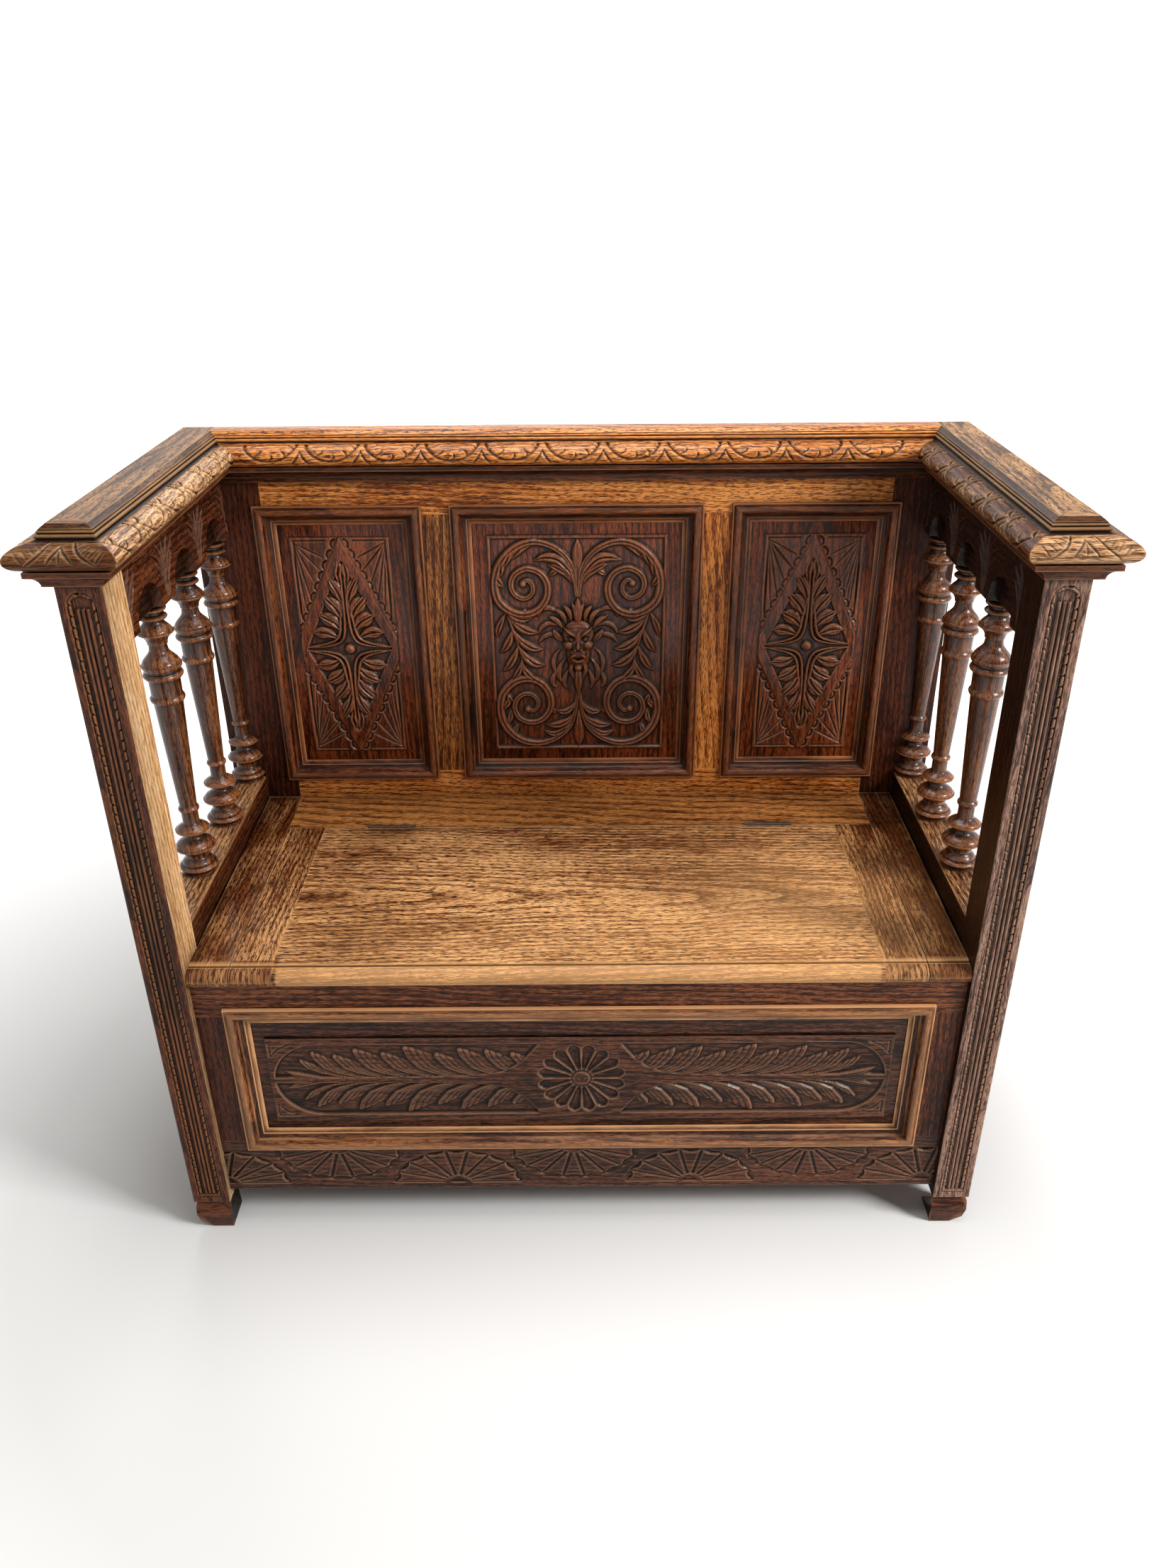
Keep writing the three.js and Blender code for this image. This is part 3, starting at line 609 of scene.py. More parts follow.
print("the middle of the posts' top is at", settle_point(0, 0, 916).round(3), "m")

# %% [markdown]
# Sheets that meet, such as the four mitred lengths of a moulding, are put into one bmesh, their
# doubles are merged, open ends are filled, and the normals are recalculated. Edges that bend more
# than a set angle are marked sharp, so that flats stay flat and rounds stay smooth.

# %% Sheets become pieces
CREASE = 0.6  # radians
MERGE = 0.02 * MM
pieces = {}


def piece(name, meshes, material, node, body="settle", fill=True, other=None):
    """Joins sheets into one closed piece that rides on a body and replaces its frame node."""
    bm = bmesh.new()
    for mesh in meshes:
        bm.from_mesh(mesh)
        bpy.data.meshes.remove(mesh)
    bmesh.ops.remove_doubles(bm, verts=bm.verts, dist=MERGE)
    open_edges = [edge for edge in bm.edges if edge.is_boundary]
    if fill and open_edges:
        bmesh.ops.holes_fill(bm, edges=open_edges, sides=0)
    bmesh.ops.recalc_face_normals(bm, faces=bm.faces)
    for face in bm.faces:
        face.smooth = True
    for edge in bm.edges:
        edge.smooth = edge.calc_face_angle(0) < CREASE
    mesh = as_mesh(bm, name)
    made = new_object(name, mesh)
    mesh.materials.append(material)
    if other:  # a second finish where a test on the faces' middles says so
        mesh.materials.append(other[0])
        for face in mesh.polygons:
            face.material_index = int(other[1](face.center / MM))
    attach(made, body)
    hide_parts(node)
    pieces[name] = made
    print(name, len(mesh.polygons), "faces")


print("edges stay smooth up to", round(math.degrees(CREASE)), "degrees")

# %% [markdown]
# No two boards come from the same place in a tree, so each one draws its own shift of the grain,
# from a seeded row of random numbers.

# %% Where a board lay in its tree
random_shift = np.random.default_rng(7)


def new_log():
    """Where a board lay in its tree: along the trunk, and away from its heart."""
    return np.array([random_shift.uniform(0, 9), random_shift.uniform(-0.07, 0.07),
                     random_shift.uniform(0.03, 0.09)])


GRAIN_ORDER = {"x": (0, 1, 2), "y": (1, 0, 2), "z": (2, 0, 1)}  # along the board, then across


def grain_for(places, axis):
    """Grain coordinates: along the board first, then across, counted from the tree's heart."""
    middle = (places.min(axis=0) + places.max(axis=0)) / 2
    return (places - middle)[:, GRAIN_ORDER[axis]] + new_log()


print("boards can run along", ", ".join(GRAIN_ORDER))

# %% [markdown]
# A carved face is a sheet laid over its height map. Its rim is drawn back into the wood, so that
# the carving gets sides.

# %% Carved faces


def drawn_back(mesh, axis, back):
    """Extrudes the rim of a sheet back into the wood, and lets the grain run on round the edge."""
    bm = bmesh.new()
    bm.from_mesh(mesh)
    grain, marks = (bm.verts.layers.float_vector[name] for name in ("grain", "relief"))
    rim = [edge for edge in bm.edges if edge.is_boundary]
    for vert in bmesh.ops.extrude_edge_only(bm, edges=rim)["geom"]:
        if isinstance(vert, bmesh.types.BMVert):
            moved = Vector(back(vert.co)) - vert.co
            vert[grain] += Vector([moved[i] for i in GRAIN_ORDER[axis]])
            vert[marks] = (0, 0, 0)
            vert.co += moved
    bm.to_mesh(mesh)
    bm.free()
    return mesh


def carved_face(relief, lay, columns, rows, axis, back):
    """A carved face as a sheet. 'back' says where a point of its rim is drawn back to."""

    def place(t, s):
        u = relief.x[0, 0] + t * (relief.x[0, -1] - relief.x[0, 0])
        v = relief.z[0, 0] + s * (relief.z[-1, 0] - relief.z[0, 0])
        places = lay(u, v, relief.at(relief.height, u, v))
        return places, grain_for(places, axis), relief.marks_at(u, v)

    return drawn_back(sheet(columns, rows, place), axis, back)


practice.finish()
print("the practice cut marks", int((practice.low_parts > 0.5).sum()), "cells as hollow")

# %% [markdown]
# A moulding is one profile pushed along a line. Each length here is a sheet whose rows follow
# the profile and whose columns run along the wood. At a mitre the length grows or shrinks with
# the distance that the profile stands out, which is what a 45 degree saw cut does.

# %% Profiles


def arc(x, z, wide, tall, start, end, steps):
    """Points of an arc, with its angles in degrees."""
    return [
        (x + wide * math.cos(math.radians(a)), z + tall * math.sin(math.radians(a)))
        for a in np.linspace(start, end, steps + 1)
    ]


def creases(profile, travelled, normals, reach=3.0):
    """How far each point of a profile lies below (+) or above (-) its neighbours, from -1 to 1."""
    around = sum(
        np.stack([np.interp(travelled + shift, travelled, profile[:, i]) for i in (0, 1)], axis=-1)
        for shift in (-reach, -reach / 2, reach / 2, reach)
    ) / 4
    fully = 0.8  # mm below the neighbours that count as a full hollow
    return np.clip(np.sum((around - profile) * normals, axis=1) / fully, -1, 1)


print("a quarter round in 6 steps has", len(arc(0, 0, 5, 5, 0, 90, 6)), "points")

# %% [markdown]
# One function lays a length. It puts extra rows beside the corners of long flats, so that wear
# stays at the corners, and it can lay a carved height map round part of the profile.

# %% Lengths of moulding
LONG_FLAT, BESIDE_CORNER = 5.0, 1.4
RUN_OUT = 3.0  # carving fades over this length before a mitre


def run_of_moulding(profile, ends, origin, along, out, up, step=12.0, relief=None,
                    arc_start=0.0, cross_grain=False, stains_and_shade=None, log=None):
    """A sheet whose rows follow the profile. 'ends' gives where each row starts and stops."""
    profile = np.array(profile, float)
    first, last = (np.broadcast_to(np.array(end, float), len(profile)) for end in ends)
    chords = np.hypot(*np.diff(profile, axis=0).T)
    corners = np.concatenate([[0], np.cumsum(chords)])
    near_corners = [
        place for start, chord in zip(corners, chords) if chord > LONG_FLAT
        for place in (start + BESIDE_CORNER, start + chord - BESIDE_CORNER)
    ]
    travelled = np.union1d(corners, near_corners)
    first, last, *profile = (
        np.interp(travelled, corners, values) for values in (first, last, *profile.T)
    )
    profile = np.stack(profile, axis=-1)
    slopes = np.gradient(profile, axis=0)
    slopes /= np.maximum(np.hypot(*slopes.T), 1e-6)[:, None]
    normals = np.stack([-slopes[:, 1], slopes[:, 0]], axis=-1)
    origin, along, out, up = (np.array(v, float) for v in (origin, along, out, up))
    shift = new_log() if log is None else np.array(log)
    dips = creases(profile, travelled, normals)
    rows = len(profile) - 1
    length = float(np.max(last - first))
    columns = max(2, round(length / step))

    def lay(t, s):
        row = np.round(s * rows).astype(int)
        stand = profile[row]
        run = first[row] + t * (last[row] - first[row])
        marks = np.zeros((len(t), 3))
        # hollows of the profile darkened, as wax and painted shade, and its sharp rounds
        # lightened, as wear and painted highlight
        marks[:, 0] = unit(dips[row]) * 0.8
        marks[:, 1] = unit(-1.6 * dips[row] - 0.7)
        if relief is not None:
            around = travelled[row] - arc_start
            inside = (around >= relief.low) & (around <= relief.z[-1, 0])
            inside = inside * unit(np.minimum(t, 1 - t) * length / RUN_OUT)
            height = relief.at(relief.height, run, around) * inside
            stand = stand + normals[row] * height[:, None]
            marks += relief.marks_at(run, around) * inside[:, None]
        if stains_and_shade:
            marks += stains_and_shade(run, stand[:, 0])
        places = origin + run[:, None] * along + stand[:, :1] * out + stand[:, 1:] * up
        fibres = (travelled[row], run) if cross_grain else (run, travelled[row])
        grain = np.stack([*fibres, 0 * run], axis=-1) * MM + shift
        return settle_point(*places.T), grain, unit(marks)

    return sheet(columns, rows, lay)


print("a flat longer than", LONG_FLAT, "mm gets extra rows")

# %% [markdown]
# The centre panel is the settle's showpiece. A pair of scrolls rises from the foot, and another
# pair falls from the top, both mirrored about the middle. Acanthus leaves follow their outer
# curves, and sprays of long leaves fill the sides. Only the right half is drawn, and then
# mirrored. It starts with two helpers: a board's arris is eased, and its field is sunk.

# %% The ground of the centre panel
GROUND = -3.2  # mm below the face of a panel


def eased_edges(relief, depth=0.7, reach=1.4):
    """Takes the arris off the four edges of a board."""
    gap = np.minimum.reduce([
        relief.x - relief.x[0, 0], relief.x[0, -1] - relief.x,
        relief.z - relief.z[0, 0], relief.z[-1, 0] - relief.z,
    ])
    relief.height -= depth * unit(1 - gap / reach)


def sunk_field(relief, left, right, low, high):
    """Sinks a rectangle with steep sides down to the ground."""
    gap = np.minimum.reduce([
        relief.x - left, right - relief.x, relief.z - low, high - relief.z
    ])
    relief.height += np.where(gap > 0, relief.ground * unit(gap / 1.2), 0)


centre = Relief(-132, 132, 481, 827, ground=GROUND)
sunk_field(centre, -128, 128, 485, 823)
print("centre panel drawn on", centre.x.size, "points")

# %% Scrolls of the centre panel
scroll_low = [
    (2, 575), (6, 545), (15, 520), (35, 501), (62, 492), (90, 497), (112, 517), (122, 545),
    (118, 575), (100, 596), (77, 602), (57, 594), (45, 575), (44, 553), (55, 535), (73, 528),
    (92, 535), (100, 553), (94, 570), (80, 577), (67, 571), (63, 558), (70, 548), (80, 550),
]
scroll_high = [
    (2, 735), (6, 775), (22, 800), (45, 814), (70, 817), (95, 806), (115, 783), (123, 755),
    (118, 728), (100, 711), (80, 706), (60, 713), (47, 731), (45, 752), (55, 770), (75, 777),
    (93, 768), (99, 752), (93, 737), (79, 731), (68, 739), (67, 751), (74, 759), (82, 756),
]
for scroll in (scroll_low, scroll_high):
    centre.rib(scroll, width=7.0, rise=7.6, thin=(0.4, 0.5), cut=0.34)
for x, z in ((79, 551), (81, 754)):  # the scrolls' eyes
    centre.dome(x, z, 5.5, 5.5, 8.5)
print("scrolls stand", round(float(centre.height.max()), 1), "mm above the field")

# %% Leaves of the centre panel
leaves = [  # the line of a midrib, then half the leaf's width and its rise
    # inner curled leaves of the upper scroll
    ([(4, 745), (10, 770), (28, 790), (48, 794), (64, 789)], 6.5, 5.0),
    ([(7, 752), (18, 770), (34, 780), (44, 782)], 5.0, 4.2),
    ([(22, 776), (34, 772), (42, 766)], 3.5, 3.4),
    # acanthus on the outer arc of the upper scroll
    ([(60, 817), (84, 806), (98, 792)], 4.5, 4.0),
    ([(80, 814), (100, 798), (108, 780)], 5.0, 4.4),
    ([(100, 803), (112, 784), (114, 764)], 5.0, 4.4),
    ([(116, 782), (119, 762), (110, 748)], 4.6, 4.0),
    # side sprays, inner leaves and outer leaves
    ([(113, 724), (100, 706), (84, 699), (70, 700)], 5.6, 4.6),
    ([(106, 708), (92, 690), (76, 680), (60, 677)], 5.8, 4.8),
    ([(98, 684), (86, 664), (70, 653), (55, 650)], 6.0, 5.0),
    ([(91, 658), (80, 638), (66, 627), (52, 624)], 6.2, 5.0),
    ([(86, 632), (82, 616), (74, 606), (66, 601)], 5.0, 4.4),
    ([(106, 712), (114, 698), (120, 684), (123, 670)], 4.0, 3.6),
    ([(97, 688), (103, 668), (110, 654), (118, 645)], 5.0, 4.2),
    ([(90, 660), (97, 640), (106, 624), (115, 615)], 5.0, 4.2),
    ([(86, 636), (89, 620), (95, 608), (102, 600)], 4.2, 3.8),
    # leaves at the foot
    ([(3, 566), (12, 552), (22, 546), (34, 547)], 4.6, 4.2),
    ([(4, 548), (16, 532), (32, 524), (50, 523)], 5.4, 4.6),
    ([(8, 536), (20, 518), (38, 508), (54, 512)], 4.4, 4.0),
    ([(46, 560), (40, 548), (34, 544)], 3.0, 3.0),
    # acanthus on the outer arc of the lower scroll
    ([(118, 520), (108, 534), (106, 548)], 4.0, 3.6),
    ([(122, 545), (114, 556), (106, 568)], 4.2, 3.8),
    ([(115, 580), (108, 570), (104, 560)], 3.6, 3.4),
    ([(98, 500), (100, 514), (96, 524)], 3.4, 3.2),
]
for points, width, rise in leaves:
    centre.rib(points, width * 1.3, rise * 1.5, fullest=0.62, cut=0.25)
    centre.vein(points[1:], width=1.8, depth=2.6)
centre.rib([(112, 726), (104, 700), (95, 672), (88, 645), (83, 618)], 2.6, 4.8)
centre.rib([(88, 700), (80, 712), (66, 706)], 2.4, 3.2)
print("leaves carved:", len(leaves))

# %% [markdown]
# In the middle sits a calm, plain mask of no one in particular, with flames of hair and a pointed
# beard. The locks come first, then the panel is mirrored, and the face is built from domes and
# ribs on both sides of the middle.

# %% The mask's hair and beard
MASK = 655  # the height of its middle
for points, width, rise in (
    ([(26, 706), (42, 716), (54, 714), (60, 702)], 4.2, 4.6),
    ([(26, 686), (42, 692), (54, 686), (60, 674)], 4.0, 4.4),
    ([(25, 668), (40, 674), (52, 670), (60, 660)], 4.0, 4.2),
    ([(24, 652), (34, 642), (38, 626), (34, 606)], 4.0, 4.4),
    ([(18, 636), (28, 622), (30, 606), (24, 594)], 4.4, 4.4),
    ([(30, 618), (38, 606), (40, 594), (34, 586)], 4.0, 3.8),
    ([(12, 622), (20, 606), (22, 594), (18, 584)], 4.0, 4.2),
    ([(4, 696), (4, 712), (9, 724)], 4.0, 9.0),
    ([(10, 694), (13, 710), (22, 720)], 4.4, 9.0),
    ([(17, 690), (23, 706), (34, 714)], 4.4, 8.4),
    ([(22, 682), (31, 696), (44, 703)], 4.4, 7.6),
):
    centre.rib(points, width=width, rise=rise, fullest=0.55, cut=0.2)
centre.mirror()
centre.rib([(0, 690), (0, 708), (0, 732)], 7.5, 9.0, fullest=0.45, cut=0.15)
centre.rib([(0, 738), (0, 770), (0, 800), (0, 820)], 8.5, 5.0, fullest=0.7, cut=0.25)
centre.rib([(0, 566), (0, 530), (0, 505), (0, 487)], 8.5, 5.0, fullest=0.72, cut=0.25)
centre.rib([(0, 628), (0, 600), (0, 574)], 7.5, 10.0, fullest=0.4, cut=0.2)
print("the hair stands", round(float(centre.height.max()), 1), "mm above the field")

# %% The mask's face
centre.dome(0, MASK + 17, 24, 26, 13)
centre.dome(0, MASK - 8, 18, 36, 13.5)
for side in (-1, 1):
    centre.dome(side * 14, MASK + 4, 9, 9, 15.2, side * 0.5)
    centre.hollow(side * 10.5, MASK + 14.5, 8, 5.5, 4.2, side * 0.25)
    centre.dome(side * 10.5, MASK + 13.5, 4.6, 3.0, 14.2, side * 0.25)
    centre.rib(
        [(side * 2, MASK + 18), (side * 10, MASK + 24), (side * 22, MASK + 31)],
        3.8, 17.5, fullest=0.45,
    )
    centre.rib(
        [(side * 22, MASK + 8), (side * 30, MASK + 16), (side * 38, MASK + 27)],
        5.2, 9.5, fullest=0.5, cut=0.3,
    )
    centre.dome(side * 4.6, MASK - 3, 3.6, 3.2, 18.2)
    centre.vein([(side * 7, MASK - 1), (side * 12, MASK - 8), (side * 13, MASK - 17)], 2.2, 2.2)
    centre.rib(
        [(side * 1, MASK - 10), (side * 8, MASK - 12), (side * 15, MASK - 20)],
        3.0, 16.0, fullest=0.4,
    )
    centre.rib(
        [(side * 9, MASK - 24), (side * 11, MASK - 38), (side * 6, MASK - 54)],
        4.0, 12.0, fullest=0.4, cut=0.2,
    )
centre.rib([(0, MASK + 21), (0, MASK + 8), (0, MASK - 4)], 4.6, 19.5, fullest=0.75)
centre.hollow(0, MASK - 17, 9.5, 3.4, 6.0)
centre.dome(0, MASK - 22, 7.5, 2.6, 15.5)
centre.dome(0, MASK - 32, 7.5, 7.0, 16.0)
for z in (32, 37):
    centre.vein([(-14, MASK + z - 2), (0, MASK + z), (14, MASK + z - 2)], 1.4, 0.9)
eased_edges(centre)
centre.finish()
print("the mask stands", round(float(centre.height.max()), 1), "mm above the field")

# %% [markdown]
# The side panels share one drawing. A lozenge band is left at the height of the face, and the
# wood inside it is sunk for a cross of leaves. Outside it a gouge has cut a row of crescents,
# and straight veins fan out from the corners.

# %% The lozenge of the side panels
side_field = Relief(-73, 73, 480, 826, ground=GROUND)
SIDE_MIDDLE = 653
HALF_WIDE, HALF_TALL = 80, 172  # the lozenge, out to the rim of the band
HALF_THICK = 72.5  # from its middle to its rim, square to the rim
BAND = 14
dx, dz = np.abs(side_field.x), np.abs(side_field.z - SIDE_MIDDLE)
beyond = (dx / HALF_WIDE + dz / HALF_TALL - 1) * HALF_THICK  # how far a place lies outside it
side_field.height += GROUND * unit((-BAND - beyond) / 1.2)
side_field.height -= 1.3 * unit(beyond / 1.2)
print("the lozenge covers", round(float((beyond < 0).mean()) * 100), "% of a side panel")

# %% The four quarters of a side panel
SCOOPS = 9  # along each side of the lozenge
RAYS = ((0.84, 0.10), (0.72, 0.14), (0.6, 0.12), (0.46, 0.12), (0.32, 0.12), (0.2, 0.16))
CORNER = (67, 165)  # where the rays meet
SIDE_LEAVES = (
    ([(3, 94), (6, 116), (3, 136)], 6.4, 6.0),
    ([(3, 66), (9, 90), (20, 110)], 10.0, 7.4),
    ([(4, 40), (14, 64), (30, 82)], 12.0, 7.6),
    ([(6, 24), (20, 43), (40, 54)], 12.0, 7.6),
    ([(10, 14), (30, 25), (53, 27)], 10.0, 7.4),
)
for sx in (-1, 1):
    for sz in (-1, 1):
        place = lambda x, z: (sx * x, SIDE_MIDDLE + sz * z)
        lean = math.atan2(sz * HALF_WIDE, sx * HALF_TALL)
        for k in range(SCOOPS):
            share = (k + 0.6) / (SCOOPS + 1.6)
            middle = place(HALF_WIDE * share, HALF_TALL * (1 - share))
            side_field.scoop(*middle, 9.5, lean, 1.2, 4.4, 3.0)
        for share, start in RAYS:
            foot = (HALF_WIDE * share, HALF_TALL * (1 - share))
            near_foot = tuple(f + start * (t - f) for f, t in zip(foot, CORNER))
            side_field.vein([place(*near_foot), place(*CORNER)], 2.1, 2.2)
        side_field.vein([place(67, 50), place(68, 100), place(67, 167)], 1.7, 1.6, taper=False)
        side_field.vein([place(20, 168), place(68, 168)], 1.7, 1.6, taper=False)
        for points, width, rise in SIDE_LEAVES:
            leaf = [place(x, z) for x, z in points]
            side_field.rib(leaf, width, rise, fullest=0.66, cut=0.2)
            side_field.vein(leaf, 2.2, 3.0)
            for shift in (-0.30, 0.30):
                lobe = [(x - shift * width * sz * sx, z + shift * width) for x, z in leaf]
                side_field.vein(lobe[1:], 1.7, 2.0)
        for gap in (0.0, 5.5):
            stem = [(2.6, 118 - 6 * gap), (3 + gap, 52), (9 + gap, 16 + gap), (30, 5 + gap * 0.9),
                    (63, 2.6)]
            side_field.rib([place(x, z) for x, z in stem], 2.5, 6.4, thin=(0.5, 0.4))
side_field.dome(0, SIDE_MIDDLE, 8, 8, 9.0)
eased_edges(side_field, 1.1, 1.8)
side_field.finish(ground=0.15)
print("side panels stand", round(float(side_field.height.max()), 1), "mm above the field")

# %% [markdown]
# The chest front has a rosette of sixteen hollow petals, and on each side of it a stem with
# leaves in pairs that grow outwards and overlap. All leaves share one curve, so the curve is
# taken off first: what is left counts the leaves, and its fraction climbs from the cut behind
# one leaf to the crisp edge of the next. The wood round their tips is sunk.

# %% The sunk ground of the front panel
front_field = Relief(-419, 419, 138, 283, cell=0.7, ground=-3.6)
STEM = 211  # the height of the stem's middle
SUNK = 61  # how far the sunk ground reaches up and down from it
ROSETTE, ROUND_FROM = 55, 352  # the ground starts outside the rosette, and rounds at its ends
TIPS = ((68, 46), (100, 51), (133, 54), (168, 46), (202, 58), (240, 48), (273, 54), (308, 44),
        (339, 49), (366, 36), (388, 28))
across, upright = np.abs(front_field.x), np.abs(front_field.z - STEM)
stem_edge = np.interp(
    across, (55, 65, 75, 88, 100, 120, 150, 200, 400), (61, 47, 34, 23, 15, 9.5, 7, 5.5, 4)
)
round_end = SUNK - np.hypot(np.clip(across - ROUND_FROM, 0, None), upright)
gap = np.minimum.reduce([upright - stem_edge, SUNK - upright, across - ROSETTE])
gap = np.where(across > ROUND_FROM, np.minimum(gap, round_end), gap)
front_field.height -= 3.8 * unit(gap / 1.4)
print("sunk ground covers", round(float((gap > 0).mean()) * 100), "% of the front panel")

# %% Leaves of the front panel
swept = across + np.interp(upright, (2, 4, 7, 12, 21, 38, 53, 61), (96, 76, 56, 38, 20, 7, 2, 0))
count = np.interp(swept, [x for x, _ in TIPS], range(len(TIPS)), left=-1, right=99)
share = count - np.floor(count)
leaf = np.floor(count).astype(int) + 1
tip = np.array([0] + [z for _, z in TIPS] + [0] * 99)[leaf]
tip = tip - 17 * (1 - share) ** 1.6 - 5 * unit((share - 0.86) / 0.14) ** 2
form = -3.6 + 4.4 * share**0.75 * unit((1 - share) / 0.07)
for place, depth in ((0.30, 0.9), (0.52, 1.1), (0.74, 1.3)):
    form -= depth * unit(1 - np.abs(share - place) / 0.07)
form -= 1.6 * unit(1 - (tip - upright) / 2.2)
inside = (gap > 0) & (leaf >= 1) & (leaf < len(TIPS)) & (upright < tip)
front_field.height = np.where(inside, np.maximum(form, front_field.height), front_field.height)
print("leaves in a quarter:", len(TIPS) - 1)

# %% Ends, corners and rosette of the front panel
for side in HANDS.values():
    for flip in (1, -1):
        for rise in (4, 15):
            tail = [(side * 335, STEM + flip * 2), (side * 370, STEM + flip * rise * 0.4),
                    (side * 398, STEM + flip * rise)]
            front_field.rib(tail, 4.8, 4.2, fullest=0.6, cut=0.3)
        corner = [(side * 414, STEM + flip * 42), (side * 414, STEM + flip * 62),
                  (side * 386, STEM + flip * 62)]
        for a, b in zip(corner, corner[1:]):
            front_field.vein([a, b], 1.7, 1.6, taper=False)
        front_field.vein([corner[2], (side * 402, STEM + flip * 55), corner[0]], 2.2, 1.8)
ROSETTE_X, ROSETTE_PETALS = 2, 16  # the rosette sits a little to the right of the middle
dx, dz = front_field.x - ROSETTE_X, front_field.z - STEM
reach, turn = np.hypot(dx, dz), np.arctan2(dz, dx)
petal = turn * ROSETTE_PETALS / (2 * np.pi) % 1 - 0.5
rim = 59 - 10 * (petal * 2) ** 2
spoon = unit((reach - 12) / 10) * unit((rim - reach) / 1.8)
spoon = 4.3 * spoon * np.sqrt(unit(1 - (petal * 2 / 0.86) ** 2))
front_field.height = np.where(reach < 62, -spoon, front_field.height)
front_field.height -= 2.2 * unit(1 - np.abs(reach - 13) / 2.0)
front_field.hollow(ROSETTE_X, STEM, 4, 4, 1.2)
eased_edges(front_field)
front_field.finish(ground=0.25)
print("the front panel is cut", round(-float(front_field.height.min()), 1), "mm deep")

# %% [markdown]
# The apron repeats a half rosette that hangs from its top edge and then stands on its lower
# edge, by turns. Flat petals with V cuts between them make each fan, and outside each petal the
# gouge has left a crescent that is deep at the rim and runs out in the plain band.

# %% The apron
apron = Relief(-501, 501, 14, 107, cell=0.7)
PETALS = 9  # in a fan
FAN_MIDDLE, FAN_PITCH = -10, 164.5
FAN_TOP, FAN_FOOT = 93, 25  # the edges that the fans hang from and stand on
STRETCH = 1.5  # fans are wider than high
for k in range(-3, 4):
    middle = FAN_MIDDLE + k * FAN_PITCH
    turn = -1 if k % 2 == 0 else 1
    dx, dz = apron.x - middle, (apron.z - (FAN_TOP if turn < 0 else FAN_FOOT)) * turn
    reach = np.hypot(dx / STRETCH, dz)
    angle = np.arctan2(np.maximum(dz, 0), dx / STRETCH)
    petal = angle * PETALS / np.pi % 1 - 0.5
    rim = 55 + 5 * np.abs(petal * 2) ** 2.2
    fan = (dz >= 0) & (apron.z < FAN_TOP)
    width = 8.0 * (1 - np.abs(petal * 2) ** 3) + 0.01
    beyond = unit(1 - (reach - rim) / width) * (reach > rim) * fan
    apron.height -= 3.4 * beyond
    ray = np.abs(np.sin(np.minimum(petal + 0.5, 0.5 - petal) * np.pi / PETALS)) * reach
    cut = unit(1 - ray / 2.3) * (reach > 13) * (reach < rim) * fan
    apron.height -= 2.8 * cut
    apron.height -= 2.2 * np.clip(1.2 - np.hypot(dx / 12, dz / 10), 0, 0.6) / 0.6 * fan
eased_edges(apron)
apron.finish()
print("the apron's crescents are cut", round(-float(apron.height.min()), 1), "mm deep")

# %% [markdown]
# Each front post has a long sunk panel with a round head. A bead runs round it, and the carver
# has notched this bead all the way up, like a string of dashes. Three reeds stand in the middle.

# %% The post faces
post = Relief(501, 552, 0, 916, cell=0.45)
POST_MIDDLE, NOTCH, REED = 527.3, 12.9, 5.4
PANEL_HALF, SPRING = 15.2, 892  # half the sunk panel's width, and where its round head starts
dx = np.abs(post.x - POST_MIDDLE)
head = SPRING + np.sqrt(np.clip(PANEL_HALF**2 - dx**2, 0, None))
gap = np.minimum.reduce([PANEL_HALF - dx, post.z - 12, head - post.z])
post.height -= 2.0 * unit(1 - np.abs(gap) / 1.3)
post.height -= 3.4 * unit((gap - 3.4) / 1.0)
along = (post.z + 3 * np.sign(post.x - POST_MIDDLE)) % NOTCH - NOTCH / 2
notch = unit(1.6 - np.abs(along + 0.5 * (gap - 2)) / 1.3)
post.height -= 2.4 * notch * (gap > -0.6) * (gap < 4.2)
for k in (-1, 0, 1):
    side_gap = np.minimum.reduce([
        2.5 - np.abs(post.x - POST_MIDDLE - k * REED), post.z - 16, 890 - post.z
    ])
    post.height += 3.0 * np.sqrt(unit(side_gap / 2.5))
eased_edges(post, 0.9, 1.6)
post.finish()
print("dashes up each side of a post:", round((SPRING - 12) / NOTCH))

# %% [markdown]
# The torus under the cap's edge is carved too. A lunette is a hanging arc with short ticks
# inside it, and a small inverted V fills the gap between two lunettes. The map runs along the
# moulding, and its second direction goes round the torus from its underside to its top.

# %% The carving on the torus
TORUS_ARC = 61.0  # mm round the torus
ARC_HALF, ARC_TOP, ARC_LOW = 36.0, 60.0, 25.0  # half a lunette's width, and its top and foot


def lunettes(places, left, right):
    """Hanging arcs at the given places along the torus."""
    band = Relief(left, right, 0, TORUS_ARC, cell=0.7)
    drop, low = ARC_TOP - ARC_LOW, ARC_LOW
    radius = (ARC_HALF**2 + drop**2) / (2 * drop)
    swing = math.asin(min(1, ARC_HALF / radius))
    for x in places:
        hanging = [
            (x + radius * math.sin(a), low + radius * (1 - math.cos(a)))
            for a in np.linspace(-swing, swing, 9)
        ]
        band.vein(hanging, 3.6, 3.0, taper=False)
        for tick in (-0.75, -0.4, 0.0, 0.4, 0.75):
            a = tick * swing
            foot = (x + radius * math.sin(a), low + 1.5 + radius * (1 - math.cos(a)))
            head = (x + 0.66 * (foot[0] - x) + 3, foot[1] + 10)
            band.vein([foot, ((foot[0] + head[0]) / 2 + 2.5, foot[1] + 5), head], 2.6, 2.6)
    for a, b in zip(places, places[1:]):
        middle = (a + b) / 2
        for side in (-1, 1):
            leg = [(middle + side * 12, 20), (middle + side * 4, 32), (middle, 42)]
            band.vein(leg, 2.8, 2.8)
    return band.finish()


